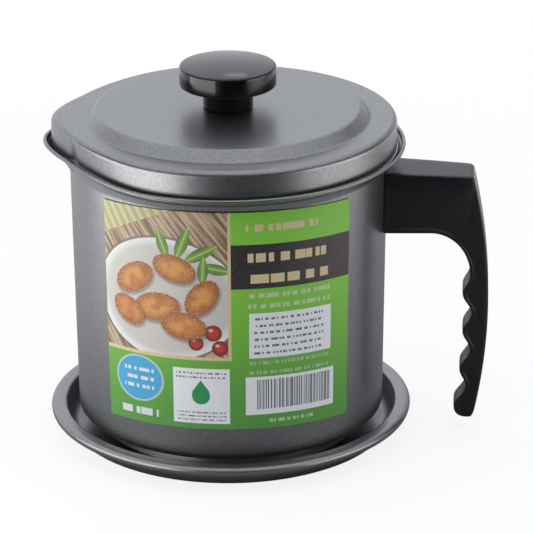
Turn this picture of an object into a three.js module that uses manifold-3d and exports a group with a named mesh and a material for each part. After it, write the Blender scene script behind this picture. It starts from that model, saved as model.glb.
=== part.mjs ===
import * as THREE from 'three';
import { mergeVertices } from 'three/addons/utils/BufferGeometryUtils.js';
import Module from 'manifold-3d';

// Oil pot with a strainer, a lid and a drip tray, in millimetres, +Z up.
// The origin is on the table, on the pot's axis. The handle points along +X and the spout along -X.

const wasm = await Module();
wasm.setup();

// Sheet thickness and clearances
const sheet = 0.6;
const gap = 0.3;
const overrun = 4;

// Pot body, drawn in one piece, measured from the underside of its bottom
const bodyTopRadius = 62.8;
const bodyTaper = 1.4;
const bodyCorner = 4;
const wallHeight = 104.3;
const ledgeRise = 4.5;
const ledgeReach = 4.2;
const beadRadius = 1.05;
const beadReach = 6.2;
const beadRise = 2.6;

// Spout: how far the rim is drawn out at the tip and pinched in beside it
const spoutReach = 3.5;
const spoutPinch = 3.5;
const spoutDrop = 4.1;
const spoutHalfAngle = 24;
const pinchSpan = 72;

// Drip tray with a raised ring that carries the pot above the channel
const channelWidth = 5.2;
const trayDepth = 10.3;
const wallSlope = 1.6;
const trayCorner = 4.8;
const bandWidth = 6.2;
const bandDrop = 3.6;
const hemWidth = 0.5;
const ringHeight = 8.5;
const ringCrest = 6;
const ringSlope = 4;
const ringInset = 7.6;

// Strainer cup that hangs on the pot's ledge
const strainerPlay = 1.4;
const strainerTaper = 2;
const strainerDepth = 44;
const strainerCorner = 3;
const strainerOpening = 40;
const flangeSheet = 0.5;
const flangeBend = 1.5;
const meshLap = 4.4;
const meshThickness = 0.7;
const meshPitch = 6.8;
const meshWire = 1.4;
const weaveLap = 0.09;
const clampLap = 1.6;

// Lid, one pressing with a raised centre
const lidPlay = 1.35;
const lidDepth = 10.6;
const lidFold = 1.6;
const lidPinch = 1.6;
const skirtPinch = 2.9;
const flatWidth = 10.6;
const bevelWidth = 4;
const plateauRise = 4.7;

// Knob with its insert, washer and screw
const knobRadius = 19.1;
const knobHeight = 18.1;
const knobHead = 9.4;
const knobCrown = 1.4;
const knobEdge = 0.9;
const neckRadius = 9.9;
const insertRadius = 3.4;
const insertLength = 10;
const screwRadius = 1.9;
const screwHeadRadius = 3.8;
const screwHeadHeight = 2.4;
const recessWidth = 0.9;
const recessLength = 3.6;
const recessDepth = 1.2;
const screwEngagement = 8;
const washerRadius = 6;
const washerThickness = 0.8;

// Handle: a level arm and a grip with finger grooves
const handleReach = 40.9;
const handleBow = 225;
const armBelowBead = 9.7;
const armHeight = 25;
const armFall = 1.9;
const armInnerReach = 17.2;
const armCorner = 2;
const gripDrop = 56.2;
const gripBottom = 106;
const gripDepth = 9.3;
const gripThinning = 2.2;
const groovePitch = 15.9;
const grooveDepth = 1.7;
const firstBump = 51.8;
const bumps = 4;
const rootWidth = 21;
const cornerWidth = 19.4;
const gripWidth = 13.6;
const endWidth = 11.6;
const lipWidth = 2.2;
const armScoop = 0.9;
const gripScoop = 0.4;
const innerRound = 0.5;
const armRound = 1;
const gripRound = 2;
const tipRound = 3.4;

// Bracket that carries the handle, with its weld nut and screw
const bracketWidth = 15;
const bracketHeight = 18;
const bracketSheet = 1.5;
const tongueWidth = 11;
const tongueSheet = 2;
const tongueReach = 22;
const screwReach = 14;
const nutSide = 7;
const nutHeight = 3.2;
const handleScrewInset = 5;

// Label on the front of the body
const labelSheet = 0.25;
const labelWidth = 106;
const labelHeight = 90.2;
const labelTopMargin = 0.2;
const labelArch = 1.9;
const labelCentre = -87.1;
const labelSteps = 14;

// Angular steps: fine round the spout, coarser elsewhere
const spoutSteps = 24;
const roundSteps = 27;
const smallSteps = 32;
const pinSteps = 20;

const degrees = THREE.MathUtils.degToRad;
const mix = THREE.MathUtils.lerp;

// Finishes
const coating = new THREE.MeshStandardMaterial({ color: 0x7b7d7f, roughness: 0.42, metalness: 0.75 });
const blackPlastic = new THREE.MeshStandardMaterial({ color: 0x101114, roughness: 0.22, metalness: 0 });
const gripPlastic = new THREE.MeshStandardMaterial({ color: 0x1a1c20, roughness: 0.38, metalness: 0 });
const stainless = new THREE.MeshStandardMaterial({ color: 0xc4c6c8, roughness: 0.28, metalness: 1 });
const zincSteel = new THREE.MeshStandardMaterial({ color: 0xb4b6b4, roughness: 0.4, metalness: 1 });
const brass = new THREE.MeshStandardMaterial({ color: 0xb8964e, roughness: 0.35, metalness: 1 });
const labelFilm = new THREE.MeshStandardMaterial({ color: 0x6aa52e, roughness: 0.5, metalness: 0 });

// Angles of the sweep, measured from +X, starting at the spout
function sweepAngles() {
  const angles = [];
  for (let i = 0; i < spoutSteps; i += 1) {
    angles.push(180 - pinchSpan + (2 * pinchSpan * i) / spoutSteps);
  }
  for (let i = 0; i < roundSteps; i += 1) {
    angles.push(180 + pinchSpan + (2 * (180 - pinchSpan) * i) / roundSteps);
  }
  return angles;
}

const ringAngles = sweepAngles();

function evenAngles(steps) {
  return Array.from({ length: steps }, (_, i) => (360 * i) / steps);
}

// How much of the spout's reach, and of the pinch beside it, a direction takes
function spoutShare(angle) {
  const off = Math.abs(angle - 180);
  return off < spoutHalfAngle ? Math.cos((degrees(90) * off) / spoutHalfAngle) ** 2 : 0;
}

function pinchShare(angle) {
  const off = Math.abs(angle - 180);
  return off < pinchSpan ? Math.sin((degrees(180) * off) / pinchSpan) ** 2 : 0;
}

// A profile point: radius and height, and what the spout adds to them
function at(r, z, tip = 0, pinch = 0, drop = 0) {
  return { r, z, tip, pinch, drop };
}

// Points of an arc from one angle to another, ends included
function arc(centreR, centreZ, radius, from, to, steps, tip = 0, pinch = 0) {
  const points = [];
  for (let i = 0; i <= steps; i += 1) {
    const turn = degrees(mix(from, to, i / steps));
    points.push(at(centreR + radius * Math.cos(turn), centreZ + radius * Math.sin(turn), tip, pinch));
  }
  return points;
}

// Closed body swept round the Z axis from a profile that runs anticlockwise, with r to the right
function sweep(profile, angles) {
  const positions = [];
  const rows = profile.map((p) => {
    const first = positions.length / 3;
    if (p.r === 0) {
      positions.push(0, 0, p.z);
      return { first, count: 1 };
    }
    for (const angle of angles) {
      const r = p.r + p.tip * spoutShare(angle) - p.pinch * pinchShare(angle);
      const z = p.z - p.drop * spoutShare(angle);
      positions.push(r * Math.cos(degrees(angle)), r * Math.sin(degrees(angle)), z);
    }
    return { first, count: angles.length };
  });
  const index = [];
  for (let i = 0; i < rows.length; i += 1) {
    const a = rows[i];
    const b = rows[(i + 1) % rows.length];
    for (let j = 0; j < angles.length; j += 1) {
      const next = (j + 1) % angles.length;
      const a0 = a.first + (a.count > 1 ? j : 0);
      const a1 = a.first + (a.count > 1 ? next : 0);
      const b0 = b.first + (b.count > 1 ? j : 0);
      const b1 = b.first + (b.count > 1 ? next : 0);
      if (a.count > 1) index.push(a0, a1, b1);
      if (b.count > 1) index.push(a0, b1, b0);
    }
  }
  const geometry = new THREE.BufferGeometry();
  geometry.setAttribute('position', new THREE.Float32BufferAttribute(positions, 3));
  geometry.setIndex(index);
  return geometry;
}

// Sheet of even thickness about a mid line that runs outwards from the axis or from a hole
function pressing(midLine, thickness) {
  const side = (turn) => midLine.map((p, i) => {
    const before = midLine[Math.max(i - 1, 0)];
    const after = midLine[Math.min(i + 1, midLine.length - 1)];
    const entry = new THREE.Vector2(p.r - before.r, p.z - before.z).normalize();
    const exit = new THREE.Vector2(after.r - p.r, after.z - p.z).normalize();
    const run = entry.clone().add(exit).normalize();
    const along = entry.lengthSq() > 0 ? entry : exit;
    const half = (turn * thickness) / 2 / run.dot(along);
    const r = p.r === 0 ? 0 : p.r - run.y * half;
    return at(r, p.z + run.x * half, p.tip, p.pinch, p.drop);
  });
  return sweep([...side(-1), ...side(1).reverse()], ringAngles);
}

function solidOf(geometry) {
  const bare = new THREE.BufferGeometry();
  bare.setAttribute('position', geometry.getAttribute('position'));
  bare.setIndex(geometry.getIndex());
  const merged = mergeVertices(bare);
  const mesh = new wasm.Mesh({
    numProp: 3,
    vertProperties: new Float32Array(merged.getAttribute('position').array),
    triVerts: new Uint32Array(merged.getIndex().array),
  });
  return new wasm.Manifold(mesh);
}

function geometryOf(solid) {
  const mesh = solid.getMesh();
  const geometry = new THREE.BufferGeometry();
  geometry.setAttribute('position', new THREE.Float32BufferAttribute(mesh.vertProperties, mesh.numProp));
  geometry.setIndex(Array.from(mesh.triVerts));
  return geometry;
}

// Upright cylinder between two heights
function pin(radius, bottom, top, x = 0, steps = pinSteps) {
  const geometry = new THREE.CylinderGeometry(radius, radius, top - bottom, steps);
  geometry.rotateX(degrees(90));
  geometry.translate(x, 0, (bottom + top) / 2);
  return geometry;
}

function block(x0, x1, width, z0, z1) {
  const geometry = new THREE.BoxGeometry(x1 - x0, width, z1 - z0);
  geometry.translate((x0 + x1) / 2, 0, (z0 + z1) / 2);
  return geometry;
}

function cut(geometry, ...tools) {
  return geometryOf(tools.reduce((solid, tool) => solid.subtract(solidOf(tool)), solidOf(geometry)));
}

function piece(name, geometry, material) {
  geometry.computeVertexNormals();
  const mesh = new THREE.Mesh(geometry, material);
  mesh.name = name;
  return mesh;
}

// Drip tray
const bodyBottomRadius = bodyTopRadius - bodyTaper;
const lipRadius = bodyBottomRadius + channelWidth;
const ringOuter = bodyBottomRadius - ringInset;

function dripTray() {
  const half = sheet / 2;
  const footRadius = lipRadius - wallSlope;
  const ringInner = ringOuter - ringCrest - 2 * ringSlope;
  const bandShares = [[0.16, 0.07], [0.55, 0.15], [0.88, 0.12], [1, -0.28]];
  const midLine = [
    at(0, half),
    at(ringInner, half),
    at(ringInner + ringSlope, ringHeight),
    at(ringOuter - ringSlope, ringHeight),
    at(ringOuter, half),
    ...arc(footRadius + half - trayCorner, half + trayCorner, trayCorner, -90, -15, 2),
    at(lipRadius + half, trayDepth),
    ...bandShares.map(([out, up]) => at(
      lipRadius + half + (bandWidth - sheet) * out,
      trayDepth + bandDrop * up,
    )),
    at(lipRadius + bandWidth - half - hemWidth, trayDepth - bandDrop),
  ];
  return piece('drip_tray', pressing(midLine, sheet), coating);
}

// Radius of the body's outer face at a height above its bottom
function wallRadius(height) {
  return mix(bodyBottomRadius, bodyTopRadius, (height - bodyCorner) / (wallHeight - bodyCorner));
}

const ledgeRadius = bodyTopRadius + ledgeReach;
const ledgeHeight = wallHeight + ledgeRise;
const beadCircle = bodyTopRadius + beadReach;
const beadHeight = ledgeHeight + beadRise;

function potBody() {
  const half = sheet / 2;
  const wallMid = bodyTopRadius - half;
  const curl = beadRadius - half;
  const bend = bodyCorner - half;
  const beadFootShare = 0.35;
  const flareShares = [[0.18, 0.6, 0.45, 0.05, 0.85], [0.56, 0.9, 0.75, 0.4, 0.55], [1, 1, 0.95, 0.85, 0.25]];
  const midLine = [
    at(0, half),
    ...arc(bodyBottomRadius - bodyCorner, bodyCorner, bend, -90, 0, 3),
    at(wallMid, wallHeight, 0, 0, spoutDrop),
    ...flareShares.map(([out, up, tip, pinch, drop]) => at(
      mix(wallMid, ledgeRadius, out),
      mix(wallHeight, ledgeHeight, up),
      spoutReach * tip,
      spoutPinch * pinch,
      spoutDrop * drop,
    )),
    at(beadCircle - curl - half, mix(ledgeHeight, beadHeight, beadFootShare), spoutReach, spoutPinch),
    ...arc(beadCircle, beadHeight, curl, 180, -60, 4, spoutReach, spoutPinch),
  ];
  return piece('pot_body', pressing(midLine, sheet), coating);
}

// Label, a film on the front of the body
function frontLabel() {
  const top = wallHeight - labelTopMargin;
  const corners = [
    [top, gap],
    [top, gap + labelSheet],
    [top - labelHeight, gap + labelSheet],
    [top - labelHeight, gap],
  ];
  const halfAngle = labelWidth / 2 / wallRadius(top);
  const positions = [];
  for (let i = 0; i <= labelSteps; i += 1) {
    const offShare = (2 * i) / labelSteps - 1;
    const turn = degrees(labelCentre) + halfAngle * offShare;
    for (const [corner, out] of corners) {
      const z = corner - labelArch * offShare ** 2;
      const r = wallRadius(z) + out;
      positions.push(r * Math.cos(turn), r * Math.sin(turn), z);
    }
  }
  const index = [0, 3, 2, 0, 2, 1];
  const last = 4 * labelSteps;
  index.push(last, last + 1, last + 2, last, last + 2, last + 3);
  for (let i = 0; i < labelSteps; i += 1) {
    for (let k = 0; k < 4; k += 1) {
      const a = 4 * i + k;
      const b = 4 * i + ((k + 1) % 4);
      index.push(a, b, b + 4, a, b + 4, a + 4);
    }
  }
  const geometry = new THREE.BufferGeometry();
  geometry.setAttribute('position', new THREE.Float32BufferAttribute(positions, 3));
  geometry.setIndex(index);
  return piece('front_label', geometry, labelFilm);
}

// Handle outline in the XZ plane, heights from the underside of the pot
const armTop = beadHeight - armBelowBead;
const armBottom = armTop - armHeight;
const gripOuter = bodyTopRadius + handleReach;
const gripMiddle = armTop - gripDrop;
const bendX = bodyTopRadius + armInnerReach;
const bendBottom = armTop - firstBump + groovePitch / 2;
const handleEnd = armTop - gripBottom;

function outerX(z) {
  return gripOuter - (z - gripMiddle) ** 2 / (2 * handleBow);
}

function armTopAt(x) {
  return armTop - (armFall * (x - bodyTopRadius)) / handleReach;
}

function gripShare(z) {
  return (armBottom - z) / (armBottom - handleEnd);
}

function innerX(z) {
  const depth = gripDepth - gripThinning * gripShare(z);
  const wave = Math.cos((2 * Math.PI * (z - (armTop - firstBump))) / groovePitch);
  return outerX(z) - depth - grooveDepth * wave;
}

// Places of the handle's cross-sections along the arm, round the corner, down the grip and round its tip
const armSteps = 4;
const stepsPerBump = 8;
const armTopShares = [0, 0.4, 0.8];
const cornerTurns = [75, 45, 15];
const gripTopShares = [0.2, 0.45, 0.7, 1];
const tipShares = [[0.45, 0.08, 0.03, 0.1], [0.8, 0.25, 0.08, 0.35], [0.95, 0.4, 0.14, 0.7], [1, 0.5, 0.24, 1]];

// Cross-sections of the handle, each from an inner point to an outer point
function handleStations() {
  const stations = [];
  const root = bodyTopRadius - overrun;
  for (let i = 0; i < armSteps; i += 1) {
    const share = i / armSteps;
    const x = mix(root, bendX, share);
    stations.push({
      inner: [x, armBottom],
      outer: [x, armTopAt(x)],
      width: mix(rootWidth, cornerWidth, share),
      scoop: armScoop,
      round: armRound,
    });
  }
  const innerEnd = innerX(bendBottom);
  const cornerZ = armTopAt(outerX(armTop)) - armCorner;
  const cornerX = outerX(cornerZ) - armCorner;
  const outers = [];
  for (const share of armTopShares) {
    const x = mix(bendX, cornerX, share);
    outers.push([x, armTopAt(x)]);
  }
  for (const turn of cornerTurns) {
    const reach = degrees(turn);
    outers.push([cornerX + armCorner * Math.cos(reach), cornerZ + armCorner * Math.sin(reach)]);
  }
  for (const share of gripTopShares) {
    const z = mix(cornerZ, bendBottom, share);
    outers.push([outerX(z), z]);
  }
  outers.forEach((outer, i) => {
    const share = i / (outers.length - 1);
    const turn = degrees(90 * (1 - share));
    stations.push({
      inner: [mix(bendX, innerEnd, Math.cos(turn)), mix(bendBottom, armBottom, Math.sin(turn))],
      outer,
      width: mix(cornerWidth, gripWidth, share),
      scoop: mix(armScoop, gripScoop, share),
      round: mix(armRound, gripRound, share),
    });
  });
  const lastBump = armTop - firstBump - (bumps - 1) * groovePitch;
  const gripSteps = Math.round((bumps - 0.5) * stepsPerBump);
  for (let i = 1; i <= gripSteps; i += 1) {
    const share = i / gripSteps;
    const z = mix(bendBottom, lastBump, share);
    stations.push({
      inner: [innerX(z), z],
      outer: [outerX(z), z],
      width: mix(gripWidth, endWidth, share),
      scoop: gripScoop,
      round: gripRound,
    });
  }
  const depth = outerX(lastBump) - innerX(lastBump);
  for (const [down, inward, back, sink] of tipShares) {
    const z = mix(lastBump, handleEnd, down);
    stations.push({
      inner: [innerX(lastBump) + depth * inward, z],
      outer: [outerX(z) - depth * back, z],
      width: endWidth - tipRound * sink,
      scoop: 0,
      round: gripRound * (1 - sink),
    });
  }
  return stations;
}

// Most that each part of a cross-section takes of its depth, and where a rounded edge's middle lies
const sectionShares = { inner: 0.15, outer: 0.4, lip: 0.3, step: 0.1, bevel: 0.3 };

// One half of a cross-section: how far out in Y, and how far from the inner point to the outer one
function halfSection({ width, scoop, round }, depth) {
  const side = width / 2;
  const inner = Math.min(innerRound, depth * sectionShares.inner);
  const outer = Math.min(round, depth * sectionShares.outer);
  const lip = Math.min(lipWidth, depth * sectionShares.lip);
  const step = Math.min(gripScoop, depth * sectionShares.step);
  const bevel = outer * sectionShares.bevel;
  return [
    [side - inner, 0],
    [side, inner],
    [side, lip],
    [side - scoop, lip + step],
    [side, depth - outer],
    [side - bevel, depth - bevel],
    [side - outer, depth],
  ];
}

function handleLoft() {
  const stations = handleStations();
  const positions = [];
  let count = 0;
  for (const station of stations) {
    const [x0, z0] = station.inner;
    const [x1, z1] = station.outer;
    const depth = Math.hypot(x1 - x0, z1 - z0);
    const half = halfSection(station, depth);
    const loop = [...half.map(([y, e]) => [-y, e]), ...half.reverse()];
    count = loop.length;
    for (const [y, e] of loop) {
      positions.push(mix(x0, x1, e / depth), y, mix(z0, z1, e / depth));
    }
  }
  const index = [];
  const last = count * (stations.length - 1);
  for (let k = 1; k < count - 1; k += 1) {
    index.push(0, k, k + 1, last, last + k + 1, last + k);
  }
  for (let i = 0; i < stations.length - 1; i += 1) {
    for (let k = 0; k < count; k += 1) {
      const a = count * i + k;
      const b = count * i + ((k + 1) % count);
      index.push(a, b + count, b, a, a + count, b + count);
    }
  }
  const geometry = new THREE.BufferGeometry();
  geometry.setAttribute('position', new THREE.Float32BufferAttribute(positions, 3));
  geometry.setIndex(index);
  return geometry;
}

// A ring round the body's wall, as a solid between two offsets from it
function wallRing(inner, outer, bottom, top) {
  const profile = [
    at(wallRadius(bottom) + inner, bottom),
    at(wallRadius(bottom) + outer, bottom),
    at(wallRadius(top) + outer, top),
    at(wallRadius(top) + inner, top),
  ];
  return sweep(profile, ringAngles);
}

// Places shared by the handle, its bracket, the weld nut and the screw
const bracketMiddle = (armTop + armBottom) / 2;
const bracketBottom = bracketMiddle - bracketHeight / 2;
const bracketTop = bracketMiddle + bracketHeight / 2;
const tongueBottom = bracketMiddle - tongueSheet / 2;
const tongueTop = bracketMiddle + tongueSheet / 2;
const tongueEnd = bodyTopRadius + tongueReach;
const handleScrewX = bodyTopRadius + screwReach;
const nutBottom = tongueTop + gap;
const nutTop = nutBottom + nutHeight;
const handleScrewSeat = armBottom + handleScrewInset;
const screwBore = screwRadius + gap;

function handle() {
  const wall = sweep([
    at(0, armBottom - overrun),
    at(wallRadius(armBottom - overrun) + gap, armBottom - overrun),
    at(wallRadius(armTop + overrun) + gap, armTop + overrun),
    at(0, armTop + overrun),
  ], ringAngles);
  const root = bodyTopRadius - overrun;
  const plateRoom = bodyTopRadius + gap + bracketSheet + gap;
  return piece('handle', cut(
    handleLoft(),
    wall,
    block(root, plateRoom, bracketWidth + 2 * gap, bracketBottom - gap, bracketTop + gap),
    block(root, tongueEnd + gap, tongueWidth + 2 * gap, tongueBottom - gap, nutTop + gap),
    pin(screwBore, armBottom - overrun, bracketMiddle, handleScrewX),
    pin(screwHeadRadius + gap, armBottom - overrun, handleScrewSeat, handleScrewX),
    pin(screwBore, bracketMiddle, nutTop + screwRadius + gap, handleScrewX),
  ), gripPlastic);
}

function handleBracket() {
  const ring = solidOf(wallRing(gap, gap + bracketSheet, bracketBottom, bracketTop));
  const window = solidOf(block(0, tongueEnd, bracketWidth, bracketBottom - overrun, bracketTop + overrun));
  const tongueRoot = bodyTopRadius + gap + bracketSheet / 2;
  const tongue = solidOf(block(tongueRoot, tongueEnd, tongueWidth, tongueBottom, tongueTop));
  const bore = solidOf(pin(screwBore, tongueBottom - overrun, tongueTop + overrun, handleScrewX));
  return piece('handle_bracket', geometryOf(ring.intersect(window).add(tongue).subtract(bore)), zincSteel);
}

function bracketNut() {
  const body = block(handleScrewX - nutSide / 2, handleScrewX + nutSide / 2, nutSide, nutBottom, nutTop);
  const bore = pin(screwBore, nutBottom - overrun, nutTop + overrun, handleScrewX);
  return piece('bracket_weld_nut', cut(body, bore), zincSteel);
}

// Screw that points up, with its head below the seat and a cross recess in the head
function screw(name, seat, length, x) {
  const headBottom = seat - screwHeadHeight;
  const crownShare = 0.35;
  const crown = crownShare * screwHeadHeight;
  const faceShare = 0.62;
  const profile = [
    at(0, headBottom),
    at(screwHeadRadius * faceShare, headBottom),
    at(screwHeadRadius, headBottom + crown),
    at(screwHeadRadius, seat),
    at(screwRadius, seat),
    at(screwRadius, seat + length - screwRadius / 2),
    at(screwRadius / 2, seat + length),
    at(0, seat + length),
  ];
  const body = sweep(profile, evenAngles(pinSteps));
  const arms = [0, 90].map((turn) => {
    const floor = headBottom + recessDepth;
    const arm = block(-recessLength / 2, recessLength / 2, recessWidth, headBottom - overrun, floor);
    arm.rotateZ(degrees(turn));
    return arm;
  });
  const mesh = piece(name, cut(body, ...arms), zincSteel);
  mesh.position.x = x;
  return mesh;
}

// Strainer, heights from the underside of its flange
const strainerRadius = bodyTopRadius - sheet - strainerPlay;
const lidRadius = beadCircle - beadRadius - lidPlay;
const cupFloor = -strainerDepth;
const meshTop = cupFloor - gap;
const meshRadius = strainerOpening + meshLap;

function strainerFrame() {
  const half = flangeSheet / 2;
  const footRadius = strainerRadius - strainerTaper;
  const flangeRadius = lidRadius + gap;
  const midLine = [
    at(strainerOpening, cupFloor + half),
    ...arc(footRadius - strainerCorner, cupFloor + strainerCorner, strainerCorner - half, -90, 0, 2),
    at(strainerRadius - half, -flangeBend),
    at(strainerRadius + flangeBend / 2, half),
    at(flangeRadius, half, 0, skirtPinch),
  ];
  return piece('strainer_frame', pressing(midLine, flangeSheet), stainless);
}

// Flat net: wires along X over wires along Y, which meet half way down, and a selvage ring round them
function strainerMesh() {
  const bottom = meshTop - meshThickness;
  const middle = (meshTop + bottom) / 2;
  const ring = sweep([
    at(strainerOpening, bottom),
    at(meshRadius, bottom),
    at(meshRadius, meshTop),
    at(strainerOpening, meshTop),
  ], evenAngles(2 * pinSteps));
  const reach = (strainerOpening + meshRadius) / 2;
  const wires = Math.floor(strainerOpening / meshPitch);
  let net = solidOf(ring);
  for (let i = -wires; i <= wires; i += 1) {
    const offset = i * meshPitch;
    const end = Math.sqrt(reach ** 2 - offset ** 2);
    const over = block(-end, end, meshWire, middle - weaveLap, meshTop);
    const under = block(-end, end, meshWire, bottom, middle + weaveLap);
    over.translate(0, offset, 0);
    under.rotateZ(degrees(90));
    under.translate(offset, 0, 0);
    net = net.add(solidOf(over)).add(solidOf(under));
  }
  return piece('strainer_mesh', geometryOf(net), stainless);
}

// Angle ring that holds the mesh against the cup's floor
function clampRing() {
  const bottom = meshTop - meshThickness - gap;
  const profile = [
    at(strainerOpening + gap, bottom - flangeSheet),
    at(meshRadius + clampLap, bottom - flangeSheet),
    at(meshRadius + clampLap, meshTop),
    at(meshRadius + gap, meshTop),
    at(meshRadius + gap, bottom),
    at(strainerOpening + gap, bottom),
  ];
  return piece('mesh_clamp_ring', sweep(profile, evenAngles(2 * pinSteps)), stainless);
}

// Lid, heights from the lower edge of its skirt
const lidTop = lidDepth;
const plateauTop = lidTop + plateauRise;

function lid() {
  const half = sheet / 2;
  const flatInner = lidRadius - flatWidth;
  const plateauEdge = flatInner - bevelWidth;
  const bevelShares = [[-0.25, 1], [0.12, 0.92], [0.88, 0.08], [1.25, 0]];
  const fold = arc(lidRadius - lidFold, lidTop - lidFold, lidFold - half, 90, 0, 3, spoutReach, lidPinch);
  const midLine = [
    at(screwBore + gap, plateauTop - half),
    ...bevelShares.map(([out, up]) => at(
      mix(plateauEdge, flatInner, out),
      mix(lidTop, plateauTop, up) - half,
    )),
    ...fold,
    at(lidRadius - half, 0, spoutReach, skirtPinch),
  ];
  return piece('lid', pressing(midLine, sheet), coating);
}

// Knob, heights from its lower face
function lidKnob() {
  const headBottom = knobHeight - knobHead;
  const edgeTop = knobHeight - knobCrown;
  const crownShares = [[0.7, 0.55], [0.35, 0.9]];
  const body = sweep([
    at(0, 0),
    at(neckRadius, 0),
    at(neckRadius, headBottom - knobEdge),
    at(neckRadius + knobEdge, headBottom),
    at(knobRadius - knobEdge, headBottom),
    at(knobRadius, headBottom + knobEdge),
    at(knobRadius, edgeTop - knobEdge),
    at(knobRadius - knobEdge, edgeTop),
    ...crownShares.map(([out, up]) => at(knobRadius * out, edgeTop + knobCrown * up)),
    at(0, knobHeight),
  ], evenAngles(smallSteps));
  const bore = pin(insertRadius + gap, -overrun, insertLength + gap);
  return piece('lid_knob', cut(body, bore), blackPlastic);
}

function knobInsert() {
  const body = pin(insertRadius, 0, insertLength);
  return piece('knob_insert', cut(body, pin(screwBore, -overrun, insertLength + overrun)), brass);
}

function knobWasher(top) {
  const body = pin(washerRadius, top - washerThickness, top, 0, smallSteps);
  const bore = pin(screwBore, top - washerThickness - overrun, top + overrun);
  return piece('knob_washer', cut(body, bore), zincSteel);
}

// Assembly: each group stands at the height where it rests
const pot = new THREE.Group();
pot.position.z = ringHeight + sheet / 2 + gap;
const handleScrewLength = nutTop + screwRadius - handleScrewSeat;
pot.add(
  potBody(),
  frontLabel(),
  handleBracket(),
  bracketNut(),
  handle(),
  screw('handle_screw', handleScrewSeat - gap, handleScrewLength, handleScrewX),
);

const strainer = new THREE.Group();
strainer.position.z = ledgeHeight + sheet / 2 + gap;
strainer.add(strainerFrame(), strainerMesh(), clampRing());

const cover = new THREE.Group();
cover.position.z = flangeSheet + gap;
const washerTop = plateauTop - sheet - gap;
const washerBottom = washerTop - washerThickness;
const knobBase = plateauTop + gap;
const knobScrewSeat = washerBottom - gap;
cover.add(
  lid(),
  knobWasher(washerTop),
  screw('knob_screw', knobScrewSeat, knobBase + screwEngagement - knobScrewSeat, 0),
);

const knob = new THREE.Group();
knob.position.z = knobBase;
knob.add(lidKnob(), knobInsert());

cover.add(knob);
strainer.add(cover);
pot.add(strainer);

const oilPot = new THREE.Group();
oilPot.add(dripTray(), pot);

export default oilPot;
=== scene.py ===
from functools import cache
from itertools import product
from math import ceil, cos, hypot, pi, radians, sin, sqrt, tan
from typing import NamedTuple

import bpy
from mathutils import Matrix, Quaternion, Vector


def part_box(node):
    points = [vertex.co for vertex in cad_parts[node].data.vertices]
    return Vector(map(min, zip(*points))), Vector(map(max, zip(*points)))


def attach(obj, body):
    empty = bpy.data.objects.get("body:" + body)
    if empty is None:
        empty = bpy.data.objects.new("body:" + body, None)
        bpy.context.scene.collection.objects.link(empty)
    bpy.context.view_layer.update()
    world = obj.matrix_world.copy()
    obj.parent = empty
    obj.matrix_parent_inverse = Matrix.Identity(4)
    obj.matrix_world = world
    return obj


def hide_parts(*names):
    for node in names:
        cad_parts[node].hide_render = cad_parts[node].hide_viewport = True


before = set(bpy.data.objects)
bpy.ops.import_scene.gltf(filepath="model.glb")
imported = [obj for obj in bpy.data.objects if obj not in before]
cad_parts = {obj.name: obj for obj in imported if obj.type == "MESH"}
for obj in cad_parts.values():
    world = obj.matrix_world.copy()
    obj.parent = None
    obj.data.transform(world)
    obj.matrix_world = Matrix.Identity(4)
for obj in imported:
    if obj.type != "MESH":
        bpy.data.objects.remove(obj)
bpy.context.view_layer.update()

bl_info = {
    "name": "Oil Pot",
    "version": (1, 0, 0),
    "blender": (4, 5, 0),
    "location": "View3D > Sidebar > Oil Pot",
    "description": "A coated steel oil pot with spout, strainer, lid, knob, handle, label and drip tray",
    "category": "Add Mesh",
}

# Every length is in metres and every angle in radians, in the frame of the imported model


@cache
def corners(node):
    """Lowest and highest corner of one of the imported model's pieces."""
    low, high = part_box(node)
    return Vector(low), Vector(high)


def length(name, default, description):
    """A size that can be changed in the panel."""
    return bpy.props.FloatProperty(
        name=name, description=description, default=default, min=0, precision=5, unit="LENGTH"
    )


def angle(name, default, description):
    """An angle that can be changed in the panel."""
    return bpy.props.FloatProperty(
        name=name, description=description, default=default, subtype="ANGLE", unit="ROTATION"
    )


def power(name, default, description):
    """A lamp's power that can be changed in the panel."""
    return bpy.props.FloatProperty(
        name=name, description=description, default=default, min=0, unit="POWER"
    )


def ink(red, green, blue):
    """A colour given as it looks on a screen, from 0 to 255, in linear light."""
    def linear(level):
        level /= 255
        return level / 12.92 if level <= 0.04045 else ((level + 0.055) / 1.055) ** 2.4
    return (linear(red), linear(green), linear(blue))


def colour(name, default, description):
    """A colour that can be changed in the panel."""
    return bpy.props.FloatVectorProperty(
        name=name, description=description, default=default, size=3, min=0, max=1, subtype="COLOR"
    )


class PressingSizes(bpy.types.PropertyGroup):
    """Sheet that the tray, pot and lid are pressed from."""
    sheet: length("Sheet", 0.0006, "Thickness of the steel sheet")
    gap: length("Gap", 0.0003, "Clearance between neighbouring pieces")
    spout_reach: length("Spout reach", 0.0035, "How far the rim is drawn out at the spout's tip")
    spout_pinch: length("Spout pinch", 0.0035, "How far the rim is drawn in beside the spout")
    spout_drop: length("Spout drop", 0.0041, "How much deeper the flare starts under the spout")
    spout_angle: angle("Spout half angle", radians(24), "Half the angle that the spout's tip takes")
    pinch_angle: angle("Pinch angle", radians(72), "Angle from the tip to where the rim is round again")
    crease_angle: angle("Crease angle", radians(24), "Angle from the tip to the skirt's crease")
    crease_width: angle("Crease width", radians(4.5), "Half the angle that the crease takes")


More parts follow.
